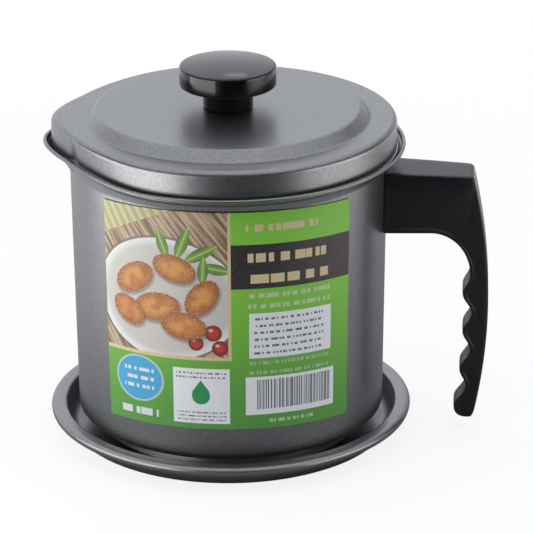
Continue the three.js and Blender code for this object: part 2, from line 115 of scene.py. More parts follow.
class PotSizes(bpy.types.PropertyGroup):
    """Pot body, measured from the bead inwards and down."""
    taper: length("Taper", 0.0014, "How much narrower the wall is at the bottom")
    corner: length("Bottom corner", 0.0025, "Outer radius between bottom and wall")
    ledge_rise: length("Ledge rise", 0.0045, "Height of the flare from the wall to the strainer's ledge")
    ledge_reach: length("Ledge reach", 0.0042, "Width of the flare")
    bead_radius: length("Bead radius", 0.00105, "Radius that the packed model leaves for the rim")
    bead_reach: length("Bead reach", 0.0062, "From the wall's face to the middle of the bead")
    bead_rise: length("Bead rise", 0.0026, "From the ledge to the middle of the bead")
    curl_radius: length("Curl radius", 0.00078, "Radius of the rolled rim")
    curl_drop: length("Curl drop", 0.0006, "How much lower the rolled rim lies away from the spout")


class TraySizes(bpy.types.PropertyGroup):
    """Drip tray with a raised ring under the pot."""
    depth: length("Depth", 0.0103, "Height of the channel's wall")
    slope: length("Wall slope", 0.0016, "How much the channel's wall leans out")
    corner: length("Corner", 0.0048, "Radius between the channel's floor and wall")
    band: length("Band", 0.0062, "Width of the rim from the channel's wall to the outside")
    roll: length("Roll", 0.002, "Radius of the rim's rolled edge")
    roll_height: length("Roll height", 0.0088, "Height of the rolled edge's middle")
    ring_height: length("Ring height", 0.0085, "Height of the raised ring")
    ring_crest: length("Ring crest", 0.002, "Width of the ring's flat top")
    ring_slope: length("Ring slope", 0.004, "Width of each of the ring's sides")
    ring_inset: length("Ring inset", 0.0116, "From the pot's bottom edge in to the ring's foot")


class LidSizes(bpy.types.PropertyGroup):
    """Lid with a raised centre."""
    fold: length("Fold", 0.0021, "Outer radius between the top and the skirt")
    flat: length("Flat ring", 0.0106, "Width of the flat ring inside the fold")
    bevel: length("Bevel", 0.004, "Width of the slope up to the raised centre")
    rise: length("Rise", 0.004, "Height of the raised centre over the flat ring")
    bevel_round: length("Bevel rounding", 0.0014, "Radius at the slope's foot and top")
    pinch: length("Top pinch", 0.0016, "How far the top is drawn in beside the spout")
    skirt_pinch: length("Skirt pinch", 0.0033, "How far the skirt's edge is drawn in beside the spout")
    skirt_flare: length("Skirt flare", 0.0002, "How much wider the skirt is at its edge")
    crease: length("Crease", 0.0007, "Depth of the crease beside the spout at the skirt's edge")


class StrainerSizes(bpy.types.PropertyGroup):
    """Strainer cup with a woven net in its floor."""
    sheet: length("Sheet", 0.0005, "Thickness of the cup's sheet")
    play: length("Play", 0.0014, "Clearance between the cup and the pot's wall")
    taper: length("Taper", 0.002, "How much narrower the cup is at its floor")
    corner: length("Corner", 0.003, "Radius between the cup's floor and wall")
    opening: length("Opening", 0.040, "Radius of the opening that the net covers")
    bend: length("Flange bend", 0.0015, "Size of the bend under the flange")
    flange_pinch: length("Flange pinch", 0.0029, "How far the flange is drawn in beside the spout")
    pitch: length("Net pitch", 0.0019, "Distance between neighbouring wires")
    wire: length("Wire", 0.00032, "Diameter of a wire")


class KnobSizes(bpy.types.PropertyGroup):
    """Round knob on a neck."""
    neck: length("Neck radius", 0.0099, "Radius of the neck")
    head: length("Head", 0.0094, "Height of the head with its crown")
    crown: length("Crown", 0.0014, "Height of the domed top over the edge")
    edge: length("Edge", 0.0014, "Rounding of the head's upper edge")
    under_edge: length("Under edge", 0.0008, "Rounding of the head's lower edge")
    bore: length("Bore", 0.0037, "Radius of the bore for the threaded insert")
    bore_depth: length("Bore depth", 0.0103, "Depth of the bore")


class HandleSizes(bpy.types.PropertyGroup):
    """Level arm and grip with finger grooves, in the XZ plane."""
    bow: length("Bow", 0.225, "Radius of the grip's outer face")
    arm_height: length("Arm height", 0.025, "Height of the arm at the wall")
    arm_fall: length("Arm fall", 0.0019, "How much the arm's top falls from the wall to the grip")
    arm_inner: length("Arm inner reach", 0.0172, "From the wall to the start of the inner bend")
    arm_corner: length("Arm corner", 0.002, "Radius between the arm's top and the grip's outer face")
    grip_drop: length("Grip drop", 0.0562, "From the arm's top to where the grip stands out most")
    grip_depth: length("Grip depth", 0.0093, "Depth of the grip at its top")
    grip_thinning: length("Grip thinning", 0.0023, "How much thinner the grip is at its end")
    groove_pitch: length("Groove pitch", 0.0162, "Distance between finger grooves")
    groove_depth: length("Groove depth", 0.0017, "Half the depth of a groove")
    first_bump: length("First bump", 0.0518, "From the arm's top down to the first bump")
    root_width: length("Root width", 0.021, "Width at the wall")
    corner_width: length("Corner width", 0.0194, "Width at the corner")
    grip_width: length("Grip width", 0.0136, "Width where the grooves start")
    end_width: length("End width", 0.0116, "Width at the grip's end")
    lip: length("Lip", 0.0013, "Width of the raised edge along the inner side")
    arm_scoop: length("Arm scoop", 0.0009, "Depth of the hollow in the arm's sides")
    grip_scoop: length("Grip scoop", 0.0004, "Depth of the hollow in the grip's sides")
    inner_round: length("Inner rounding", 0.0005, "Rounding of the inner edges")
    arm_round: length("Arm rounding", 0.0006, "Rounding of the arm's upper edges")
    grip_round: length("Grip rounding", 0.0014, "Rounding of the grip's outer edges")
    inner_crown: length("Inner crown", 0.0001, "How proud the middle of the grip's inner face stands")
    tip_round: length("Tip rounding", 0.0034, "How much narrower the very end is")


class FastenerSizes(bpy.types.PropertyGroup):
    """Bracket, screws and washer."""
    plate: length("Plate", 0.0015, "Thickness of the bracket's plate")
    tongue: length("Tongue", 0.002, "Thickness of the bracket's tongue")
    tongue_width: length("Tongue width", 0.011, "Width of the bracket's tongue")
    shank: length("Shank radius", 0.0019, "Radius of a screw's shank")
    head: length("Head radius", 0.0038, "Radius of a screw's head")
    head_height: length("Head height", 0.0024, "Height of a screw's head")
    recess: length("Recess", 0.0036, "Length of the cross recess")
    recess_width: length("Recess width", 0.0009, "Width of the cross recess")
    recess_depth: length("Recess depth", 0.0012, "Depth of the cross recess")


class LabelSizes(bpy.types.PropertyGroup):
    """Label on the front of the body."""
    width: length("Width", 0.106, "Width of the label along the wall")
    arch: length("Arch", 0.0019, "How much lower the label's ends lie than its middle")
    sheet: length("Sheet", 0.00025, "Thickness of the label")
    middle: angle("Middle", radians(-87.1), "Direction of the label's middle from +X")


class Finishes(bpy.types.PropertyGroup):
    """Colours of the finishes."""
    coating: colour("Coating", (0.305, 0.308, 0.316), "Grey resin coating with metal flakes")
    coating_dark: colour("Coating grain", (0.222, 0.224, 0.231), "Darker grain in the coating")
    knob: colour("Knob", (0.003, 0.003, 0.004), "Glossy black moulding")
    grip: colour("Grip", (0.011, 0.0118, 0.014), "Semi-gloss black moulding")
    stainless: colour("Stainless", (0.62, 0.62, 0.63), "Stainless sheet and wire")
    zinc: colour("Zinc", (0.52, 0.53, 0.52), "Zinc plating")
    brass: colour("Brass", (0.56, 0.38, 0.13), "Turned brass")
    green: colour("Label green", ink(134, 212, 54), "The label's ground at the top")
    deep_green: colour("Label deep green", ink(84, 160, 54), "The label's ground at the bottom")
    band: colour("Label band", ink(26, 22, 22), "Dark band across the label")
    cream: colour("Label cream", ink(226, 205, 160), "Lines and dashes on the label")
    paper: colour("Label white", ink(246, 249, 255), "White boxes on the label")
    blue: colour("Label blue", ink(62, 172, 222), "Round badge on the label")
    leaf: colour("Label leaf", ink(20, 150, 84), "Drop in the white box")


class StudioSettings(bpy.types.PropertyGroup):
    """Floor, lamps and camera."""
    floor: colour("Floor", (0.8, 0.8, 0.8), "Colour of the floor")
    floor_reach: length("Floor reach", 4, "From the middle to the floor's edges")
    aim: bpy.props.FloatVectorProperty(
        name="Aim", description="Point that the camera looks at", size=3, subtype="TRANSLATION",
        default=(0.01472, 0.00091, 0.06662),
    )
    azimuth: angle("Azimuth", radians(3.537), "Camera's turn round the pot from the front")
    elevation: angle("Elevation", radians(21.393), "Camera's height above the horizon")
    roll: angle("Roll", radians(-0.322), "Camera's turn about its own line of sight")
    distance: length("Distance", 1.3689, "From the camera to its aim")
    lens: bpy.props.FloatProperty(
        name="Lens", description="Focal length in millimetres", default=230.5, min=1, unit="CAMERA"
    )
    key: power("Left softbox", 0.51, "Power of the softbox at the left")
    fill: power("Right softbox", 0.47, "Power of the softbox at the right")
    crown: power("Crown lamp", 0.007, "Power of the small lamp behind the pot")


class OilPotSettings(bpy.types.PropertyGroup):
    """All of the oil pot's sizes and colours."""
    pressing: bpy.props.PointerProperty(type=PressingSizes)
    pot: bpy.props.PointerProperty(type=PotSizes)
    tray: bpy.props.PointerProperty(type=TraySizes)
    lid: bpy.props.PointerProperty(type=LidSizes)
    strainer: bpy.props.PointerProperty(type=StrainerSizes)
    knob: bpy.props.PointerProperty(type=KnobSizes)
    handle: bpy.props.PointerProperty(type=HandleSizes)
    fasteners: bpy.props.PointerProperty(type=FastenerSizes)
    label: bpy.props.PointerProperty(type=LabelSizes)
    finishes: bpy.props.PointerProperty(type=Finishes)
    studio: bpy.props.PointerProperty(type=StudioSettings)


def settings():
    """The sizes and colours of this scene's oil pot."""
    return bpy.context.scene.oil_pot


def mix(first, second, part):
    """The value part of the way from one to another."""
    return first + (second - first) * part


# Profiles of the pressed sheets

class Mark(NamedTuple):
    """A corner of a sheet's middle line, with its rounding and its part in the spout's shape."""
    r: float
    z: float
    bend: float = 0
    tip: float = 0
    pinch: float = 0
    drop: float = 0
    crease: float = 0


def between(first, second, part):
    """The mark part of the way from one to another."""
    return Mark(*(mix(a, b, part) for a, b in zip(first, second)))


# Largest turn of one face in a bend, gap between a bend and its supporting loop, longest face,
# half angle over which a corner counts as straight, and fold from which an edge is shown sharp
ARC_STEP = radians(13)
SUPPORT = 0.0004
LONGEST = 0.009
STRAIGHT = radians(89.5)
SHARP = radians(40)


def bend_at(before, corner, after):
    """Marks of the arc that rounds a corner of a middle line."""
    to_before = Vector((before.r - corner.r, before.z - corner.z))
    to_after = Vector((after.r - corner.r, after.z - corner.z))
    half = to_before.angle(to_after) / 2
    if corner.bend == 0 or half > STRAIGHT:
        return [corner]
    room = 0.49 * min(to_before.length, to_after.length)
    run = min(corner.bend / tan(half), room)
    radius = run * tan(half)
    start = between(corner, before, run / to_before.length)
    end = between(corner, after, run / to_after.length)
    bisector = (to_before.normalized() + to_after.normalized()).normalized()
    centre = Vector((corner.r, corner.z)) + bisector * (radius / sin(half))
    spoke_start = Vector((start.r, start.z)) - centre
    spoke_end = Vector((end.r, end.z)) - centre
    turn = pi - 2 * half
    steps = max(2, ceil(turn / ARC_STEP))
    marks = []
    for i in range(steps + 1):
        part = i / steps
        spoke = (spoke_start * sin(turn * (1 - part)) + spoke_end * sin(turn * part)) / sin(turn)
        shares = between(between(start, corner, part), between(corner, end, part), part)
        marks.append(shares._replace(r=centre.x + spoke.x, z=centre.y + spoke.y))
    return marks


def rounded(marks):
    """A middle line with its corners rounded and its long runs divided."""
    line = [marks[0]]
    for before, corner, after in zip(marks, marks[1:], marks[2:]):
        line += bend_at(before, corner, after)
    line.append(marks[-1])
    dense = [line[0]]
    for first, second in zip(line, line[1:]):
        run = hypot(second.r - first.r, second.z - first.z)
        if run > 3 * SUPPORT:
            dense.append(between(first, second, SUPPORT / run))
            pieces = ceil(run / LONGEST)
            dense += [between(first, second, i / pieces) for i in range(1, pieces)]
            dense.append(between(first, second, 1 - SUPPORT / run))
        dense.append(second)
    return dense


def side(line, offset):
    """A middle line moved sideways; a positive offset is to the left of its run."""
    moved = []
    for i, mark in enumerate(line):
        before = line[max(i - 1, 0)]
        after = line[min(i + 1, len(line) - 1)]
        run = Vector((after.r - before.r, after.z - before.z)).normalized()
        r = 0 if mark.r == 0 else mark.r - run.y * offset
        moved.append(mark._replace(r=r, z=mark.z + run.x * offset))
    return moved


CAP_TURNS = [radians(turn) for turn in (36, 72, 108, 144)]


def cap(line, offset, end):
    """Marks round the edge of the sheet at one end of its middle line."""
    mark = line[-1 if end else 0]
    inner = line[-2 if end else 1]
    run = Vector((mark.r - inner.r, mark.z - inner.z)).normalized()
    across = Vector((run.y, -run.x))
    marks = []
    for turn in CAP_TURNS:
        step = across * cos(turn) * offset + run * sin(turn) * offset
        marks.append(mark._replace(r=mark.r + step.x, z=mark.z + step.y))
    return marks


def curled(line, r, z, radius, start, end, *shares):
    """Adds the arc of a curled edge to a middle line, turning about a point."""
    steps = ceil(abs(end - start) / ARC_STEP)
    for i in range(steps + 1):
        turn = mix(start, end, i / steps)
        line.append(Mark(r + radius * cos(turn), z + radius * sin(turn), 0, *shares))


def skinned(line, sheet):
    """Closed outline of a sheet about a middle line that starts on the axis."""
    half = sheet / 2
    return side(line, -half) + cap(line, half, True) + side(line, half)[::-1]


def pressed(marks, sheet):
    """Outline of a sheet of even thickness that starts on the axis or at a hole."""
    line = rounded(marks)
    outline = skinned(line, sheet)
    if marks[0].r > 0:
        outline += cap(line, sheet / 2, False)
    return outline


def solid_profile(marks):
    """Outline of a turned piece with rounded corners that starts and ends on the axis."""
    return rounded([Mark(*m) for m in marks])


# Faces round each kind of pressed or turned piece, and along the knob's dome
SPIN_STEPS = 288
KNOB_STEPS = 160
CLAMP_STEPS = 192
WASHER_STEPS = 96
INSERT_STEPS = 64
SCREW_STEPS = 64
BORE_STEPS = 48
DOME_STEPS = 16


def spout_shares(turn, sizes):
    """Shares of the spout's reach, of the pinch beside it and of the crease in a direction."""
    off = abs(turn - pi)
    tip = cos(pi / 2 * off / sizes.spout_angle) ** 2 if off < sizes.spout_angle else 0
    pinch = sin(pi * off / sizes.pinch_angle) ** 2 if off < sizes.pinch_angle else 0
    beside = abs(off - sizes.crease_angle) / sizes.crease_width
    crease = cos(pi / 2 * beside) ** 2 if beside < 1 else 0
    return tip, pinch, crease


def spun(outline, steps=SPIN_STEPS, x=0.0):
    """Vertices and faces of an outline turned round an upright axis and drawn out at the spout."""
    sizes = settings().pressing
    vertices = []
    rows = []
    for mark in outline:
        if mark.r <= 0:
            rows.append([len(vertices)] * steps)
            vertices.append((x, 0, mark.z))
            continue
        rows.append([len(vertices) + i for i in range(steps)])
        for i in range(steps):
            turn = 2 * pi * i / steps
            tip, pinch, crease = spout_shares(turn, sizes)
            r = mark.r + mark.tip * tip - mark.pinch * pinch - mark.crease * crease
            vertices.append((x + r * cos(turn), r * sin(turn), mark.z - mark.drop * tip))
    faces = []
    open_ended = outline[0].r <= 0 and outline[-1].r <= 0
    count = len(rows) - (1 if open_ended else 0)
    for k in range(count):
        lower = rows[k]
        upper = rows[(k + 1) % len(rows)]
        for i in range(steps):
            j = (i + 1) % steps
            face = [lower[i], lower[j], upper[j], upper[i]]
            distinct = [v for n, v in enumerate(face) if v not in face[:n]]
            if len(distinct) > 2:
                faces.append(distinct)
    return vertices, faces


def piece(name, shape, body, slot, node):
    """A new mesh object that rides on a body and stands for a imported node."""
    vertices, faces = shape
    mesh = bpy.data.meshes.new(name)
    mesh.from_pydata(vertices, [], faces)
    mesh.update()
    mesh.validate()
    mesh.shade_smooth()
    mesh.set_sharp_from_angle(angle=SHARP)
    obj = bpy.data.objects.new(name, mesh)
    bpy.context.scene.collection.objects.link(obj)
    obj.data.materials.append(finish(slot))
    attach(obj, body)
    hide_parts(node)
    return obj


def box_shape(low, high):
    """Vertices and faces of a box."""
    vertices = list(product(*zip(low, high)))
    faces = [(0, 1, 3, 2), (4, 6, 7, 5), (0, 4, 5, 1), (2, 3, 7, 6), (0, 2, 6, 4), (1, 5, 7, 3)]
    return vertices, faces


def carve(obj, *shapes):
    """Cuts closed shapes out of an object and keeps the result as its mesh."""
    cutters = []
    for vertices, faces in shapes:
        mesh = bpy.data.meshes.new("cutter")
        mesh.from_pydata(vertices, [], faces)
        cutter = bpy.data.objects.new("cutter", mesh)
        bpy.context.scene.collection.objects.link(cutter)
        cut = obj.modifiers.new("cut", "BOOLEAN")
        cut.operation = "DIFFERENCE"
        cut.solver = "EXACT"
        cut.object = cutter
        cutters.append(cutter)
    depsgraph = bpy.context.evaluated_depsgraph_get()
    carved = bpy.data.meshes.new_from_object(obj.evaluated_get(depsgraph))
    obj.modifiers.clear()
    obj.data = carved
    carved.shade_smooth()
    carved.set_sharp_from_angle(angle=SHARP)
    for cutter in cutters:
        bpy.data.objects.remove(cutter)


# Shader values and nodes

def both_ways(operation):
    """An operator on shader values and its reflected form."""
    def forward(self, other):
        return self.board.math(operation, self, other)

    def reflected(self, other):
        return self.board.math(operation, other, self)
    return forward, reflected


class Wire:
    """A shader value; arithmetic on it adds Math nodes."""
    __add__, __radd__ = both_ways("ADD")
    __sub__, __rsub__ = both_ways("SUBTRACT")
    __mul__, __rmul__ = both_ways("MULTIPLY")
    __truediv__, __rtruediv__ = both_ways("DIVIDE")

    def __init__(self, board, socket):
        self.board = board
        self.socket = socket

    def __abs__(self):
        return self.board.math("ABSOLUTE", self)


class Board:
    """The nodes of one material or of the world."""

    def __init__(self, owner):
        owner.use_nodes = True
        self.tree = owner.node_tree
        self.tree.nodes.clear()

    def node(self, kind, options, sockets):
        """Adds a node: first its settings, then the values or links of its sockets."""
        made = self.tree.nodes.new(kind)
        for name, value in options.items():
            setattr(made, name, value)
        for name, value in sockets.items():
            if isinstance(value, Wire):
                value = value.socket
            if isinstance(value, bpy.types.NodeSocket):
                self.tree.links.new(value, made.inputs[name])
            else:
                made.inputs[name].default_value = value
        return made

    def wire(self, kind, options, sockets, output=0):
        """A new node's output as a value."""
        return Wire(self, self.node(kind, options, sockets).outputs[output])

    def math(self, operation, *values):
        """The result of a Math node."""
        return self.wire("ShaderNodeMath", {"operation": operation}, dict(enumerate(values)))

    def axes(self, vector):
        """The three parts of a vector."""
        outputs = self.node("ShaderNodeSeparateXYZ", {}, {0: vector}).outputs
        return [Wire(self, output) for output in outputs]

    def place(self):
        """Position on the object, in metres."""
        return self.node("ShaderNodeTexCoord", {}, {}).outputs["Object"]

    def noise(self, vector, scale, detail=2.0, roughness=0.5):
        """Noise from 0 to 1 whose cells measure about 1 / scale."""
        sockets = {"Vector": vector, "Scale": scale, "Detail": detail, "Roughness": roughness}
        return self.wire("ShaderNodeTexNoise", {}, sockets)

    def step(self, value, low, high):
        """Smooth step from 0 to 1 as a value goes from low to high."""
        sockets = {"Value": value, "From Min": low, "From Max": high}
        return self.wire("ShaderNodeMapRange", {"interpolation_type": "SMOOTHSTEP"}, sockets)

    def most(self, first, second):
        """The larger of two values."""
        return self.math("MAXIMUM", first, second)

    def tint(self, mask, below, above):
        """One colour over another where the mask is 1."""
        def shade(value):
            return (*value, 1) if isinstance(value, tuple) else value
        sockets = {0: mask, 6: shade(below), 7: shade(above)}
        return self.node("ShaderNodeMix", {"data_type": "RGBA"}, sockets).outputs[2]

    def bump(self, height, distance, strength=1.0):
        """The normal of a surface with this height on it."""
        sockets = {"Height": height, "Distance": distance, "Strength": strength}
        return self.node("ShaderNodeBump", {}, sockets).outputs["Normal"]

    def stretched(self, x, y, z):
        """Position on the object with each axis scaled."""
        sockets = {"Vector": self.place(), "Scale": (x, y, z)}
        return self.node("ShaderNodeMapping", {"vector_type": "POINT"}, sockets).outputs[0]

    def surface(self, **sockets):
        """The shader and the output of a material; underscores in names stand for spaces."""
        named = {name.replace("_", " "): value for name, value in sockets.items()}
        shader = self.node("ShaderNodeBsdfPrincipled", {}, named)
        self.node("ShaderNodeOutputMaterial", {}, {"Surface": shader.outputs[0]})


# Finishes

def coated_steel(board, colours):
    """Satin grey resin coating with fine metal grain under a clear skin."""
    place = board.place()
    grain = board.noise(place, 2400, 1)
    fleck = board.noise(place, 1100, 1)
    cloud = board.noise(place, 35, 2)
    depth = board.step(grain * 0.6 + fleck * 0.4, 0.34, 0.66)
    board.surface(
        Base_Color=board.tint(depth, tuple(colours.coating_dark), tuple(colours.coating)),
        Metallic=0.95,
        Roughness=0.28 + 0.07 * grain + 0.04 * cloud,
        Normal=board.bump(grain + fleck, 0.00002, 0.3),
    )


def knob_plastic(board, colours):
    """Glossy black moulding, slightly uneven as injection moulding is."""
    place = board.place()
    wave = board.noise(place, 90, 1)
    fine = board.noise(place, 900, 2)
    board.surface(
        Base_Color=board.tint(fine, tuple(colours.knob), (0.005, 0.005, 0.007)),
        Roughness=0.08 + 0.05 * fine,
        IOR=1.52,
        Normal=board.bump(wave, 0.00012, 0.4),
    )


def grip_plastic(board, colours):
    """Semi-gloss black moulding with a faint spark-eroded texture."""
    place = board.place()
    grain = board.noise(place, 1500, 2)
    wave = board.noise(place, 60, 1)
    board.surface(
        Base_Color=board.tint(grain, tuple(colours.grip), (0.018, 0.019, 0.022)),
        Roughness=0.22 + 0.06 * grain,
        IOR=1.34,
        Normal=board.bump(grain * 0.2 + wave, 0.00008, 0.5),
    )


def stainless(board, colours):
    """Bright stainless sheet with drawing lines down its wall."""
    lines = board.noise(board.stretched(900, 900, 30), 1, 2)
    fine = board.noise(board.place(), 1400, 1)
    board.surface(
        Base_Color=board.tint(lines, tuple(colours.stainless), (0.72, 0.72, 0.73)),
        Metallic=1.0,
        Roughness=0.2 + 0.12 * lines,
        Normal=board.bump(lines + 0.3 * fine, 0.00002, 0.4),
    )


def zinc_steel(board, colours):
    """Zinc plating with faint blue and yellow clouds."""
    place = board.place()
    cloud = board.noise(place, 220, 3)
    board.surface(
        Base_Color=board.tint(cloud, tuple(colours.zinc), (0.56, 0.54, 0.46)),
        Metallic=1.0,
        Roughness=0.3 + 0.15 * cloud,
        Normal=board.bump(board.noise(place, 1800, 2), 0.00002, 0.5),
    )


def brass(board, colours):
    """Turned brass."""
    rings = board.noise(board.stretched(300, 300, 6000), 1, 1)
    board.surface(
        Base_Color=board.tint(rings, tuple(colours.brass), (0.62, 0.45, 0.18)),
        Metallic=1.0,
        Roughness=0.22 + 0.12 * rings,
        Normal=board.bump(rings, 0.00002, 0.4),
    )


class Print:
    """A flat design painted in layers, in millimetres from the label's middle and foot."""

    def __init__(self, board, ground):
        self.place = board.node("ShaderNodeAttribute", {"attribute_name": "print"}, {}).outputs["Vector"]
        self.board = board
        self.u, self.v, _ = board.axes(self.place)
        self.colour = ground(self)

    def paint(self, mask, shade):
        """Covers what the mask shows with a colour."""
        self.colour = self.board.tint(mask, self.colour, shade)

    def band(self, value, low, high):
        """1 where a value lies between two others."""
        return self.board.math("COMPARE", value, (low + high) / 2, (high - low) / 2)

    def box(self, left, bottom, right, top):
        """1 inside an upright rectangle."""
        return self.band(self.u, left, right) * self.band(self.v, bottom, top)

    def local(self, u, v, wide, high, turn=0.0):
        """Place about a point, turned and divided by half widths."""
        sockets = {
            "Vector": self.place,
            "Location": (u, v, 0),
            "Rotation": (0, 0, turn),
            "Scale": (wide, high, 1),
        }
        return self.board.node("ShaderNodeMapping", {"vector_type": "TEXTURE"}, sockets).outputs[0]

    def reach(self, *oval):
        """Distance from a place, 1 on the oval of these half widths."""
        length_of = {"operation": "LENGTH"}
        return self.board.wire("ShaderNodeVectorMath", length_of, {0: self.local(*oval)}, 1)

    def inside(self, reach, soft=0.03):
        """1 inside the oval that a reach was made for."""
        return self.board.step(reach, 1 + soft, 1 - soft)

    def dashes(self, left, bottom, right, top, letter, seed, rows, share, ink_share):
        """Rows of plain dashes of uneven length inside a box."""
        board = self.board
        along = self.u / letter + seed
        pattern = self.box(left, bottom, right, top)
        if rows > 1:
            row = (self.v - bottom) * ((rows - 1 + ink_share) / (top - bottom))
            number = board.math("FLOOR", row)
            pattern = pattern * self.band(row - number, 0, ink_share)
            along = along + number * ROW_SHIFT
        sockets = {"W": along, "Scale": 1.0, "Detail": 0.0}
        noise = board.wire("ShaderNodeTexNoise", {"noise_dimensions": "1D"}, sockets)
        return pattern * self.band(noise, share, 1)


# Millimetres on the label: how far a row's noise is moved against the row under it, and the
# picture's left, bottom, right and top
ROW_SHIFT = 17.3
PICTURE = (-53.2, 30.4, 0.6, 91)
# Middle, half width, half height and turn of each oval, and middle and radius of each berry
CROQUETTES = ((-38, 61, 9.5, 5.6, 0.5), (-20.5, 66.5, 9, 5.4, -0.3), (-28, 50, 10, 5.8, 0.12),
              (-9.5, 55, 8.5, 5.4, 0.9), (-41, 47, 8, 5.2, -0.5), (-17, 43, 9.4, 5.6, -0.15))
LEAVES = ((-10, 73, 7.5, 3, 0.5), (-17, 77, 7.5, 3, 1.2), (-4, 67, 6.5, 2.8, -0.2),
          (-25, 76, 6.5, 2.7, 1.9), (-9, 66, 6, 2.6, 1.5))
BERRIES = ((-5.2, 40.5, 3.4), (-12, 36, 3), (-2.6, 34.2, 3.2))


def label_picture(design):
    """Croquettes with leaves and berries on a pale plate on a wooden board."""
    board = design.board
    slanted = board.node("ShaderNodeCombineXYZ", {}, {
        0: (design.u + design.v * 0.75) * 0.55, 1: (design.v - design.u * 0.75) * 0.035,
    })
    wood = board.noise(slanted.outputs[0], 1, 3)
    crumbs = board.noise(design.place, 1.1, 3, 0.7)
    patches = board.noise(design.place, 0.16, 1)
    frame_mask = design.box(*PICTURE)
    table = board.tint(board.step(wood, 0.36, 0.66), ink(128, 100, 72), ink(214, 190, 158))
    design.paint(frame_mask, table)
    cloth = board.step(design.v - 0.42 * design.u, 99, 99.6)
    fold = board.math("SINE", (design.u + 0.6 * design.v) * 1.5)
    weave = board.tint(board.step(fold, -0.9, 0.9), ink(182, 178, 116), ink(212, 208, 158))
    design.paint(frame_mask * cloth, weave)
    plate = design.reach(-25, 53.5, 31, 25, -0.05)
    rim = board.tint(board.step(plate, 0.84, 0.985), ink(212, 208, 200), ink(238, 238, 236))
    design.paint(frame_mask * design.inside(plate * 0.97, 0.025), ink(120, 104, 84))
    design.paint(frame_mask * design.inside(plate, 0.006), rim)
    for oval in LEAVES:
        along, across, _ = board.axes(design.local(*oval))
        across = abs(across)
        blade = across + 0.75 * along * along
        flesh = board.tint(board.step(across, 0.02, 0.9), ink(134, 172, 66), ink(70, 116, 40))
        veined = board.tint(board.step(across, 0.12, 0.04), flesh, ink(196, 212, 128))
        design.paint(frame_mask * board.step(blade, 0.86, 0.74), veined)
    for u, v, radius in BERRIES:
        berry = design.reach(u, v, radius, radius)
        spark = design.reach(u - radius * 0.3, v + radius * 0.35, radius * 0.28, radius * 0.2)
        shine = design.inside(spark)
        flesh = board.tint(board.step(berry, 0.3, 1), ink(206, 52, 38), ink(124, 22, 24))
        design.paint(frame_mask * design.inside(berry), flesh)
        design.paint(frame_mask * shine, ink(240, 190, 176))
    for u, v, wide, high, turn in CROQUETTES:
        under = design.reach(u + 0.5, v - 1.1, wide * 1.02, high * 1.04, turn)
        design.paint(frame_mask * design.inside(under, 0.14) * 0.6, ink(92, 56, 30))
        rough = design.reach(u, v, wide, high, turn) + 0.25 * (crumbs - 0.5)
        body = board.tint(board.step(rough, 0.3, 1.02), ink(226, 152, 70), ink(164, 84, 28))
        crust = board.tint(board.step(crumbs, 0.44, 0.7) * 0.65, body, ink(240, 188, 116))
        toasted = board.tint(board.step(patches, 0.46, 0.7) * 0.6, crust, ink(176, 88, 30))
        design.paint(frame_mask * design.inside(rough, 0.04), toasted)


def faded(ground, shade, strength):
    """A colour laid thinly over another."""
    return tuple(mix(a, b, strength) for a, b in zip(ground, shade))


def label_boxes(cream, paper):
    """Left, bottom, right and top of the plain areas, with their colours."""
    return (
        ((0.6, 29, 1.8, 91), cream),
        ((-54, 29, 1.8, 30.4), cream),
        ((8.7, 29.8, 43.6, 48.5), paper),
        ((7.2, 5.9, 45.2, 21.9), paper),
        ((-21.6, 2.3, 1, 25.5), paper),
    )


def label_rows(cream, paper):
    """Rows of dashes: place, letter width, seed, number, share of gaps, height and colour."""
    dark = faded(paper, ink(52, 52, 56), 0.85)
    grey = faded(paper, ink(60, 60, 64), 0.8)
    return (
        ((7.7, 61, 43.4, 73.4), 3.2, 3, 2, 0.43, 0.42, cream),
        ((7.5, 82.4, 37, 85.2), 2.8, 11, 1, 0.43, 1, cream),
        ((8.3, 50.6, 43, 56.8), 1.9, 20, 2, 0.44, 0.42, ink(196, 216, 172)),
        ((8.6, 23, 42.4, 28.4), 1.3, 40, 2, 0.45, 0.34, ink(170, 200, 150)),
        ((10.6, 31.4, 40, 46.6), 1.3, 60, 6, 0.47, 0.34, dark),
        ((11.7, 8.2, 43.6, 20.6), 0.42, 130, 1, 0.5, 1, ink(46, 46, 50)),
        ((-20.4, 21.4, -0.4, 23.9), 0.9, 170, 2, 0.46, 0.4, grey),
        ((-20.4, 3.5, -0.4, 7.2), 0.9, 190, 3, 0.46, 0.4, grey),
        ((-44, 14.4, -30, 23), 2.2, 220, 3, 0.44, 0.4, ink(232, 240, 246)),
        ((-45.8, 3.2, -28.2, 6.2), 2.4, 242, 1, 0.4, 1, ink(226, 230, 232)),
        ((16.4, 2.4, 35.4, 3.8), 1.2, 260, 1, 0.45, 1, ink(190, 212, 176)),
    )


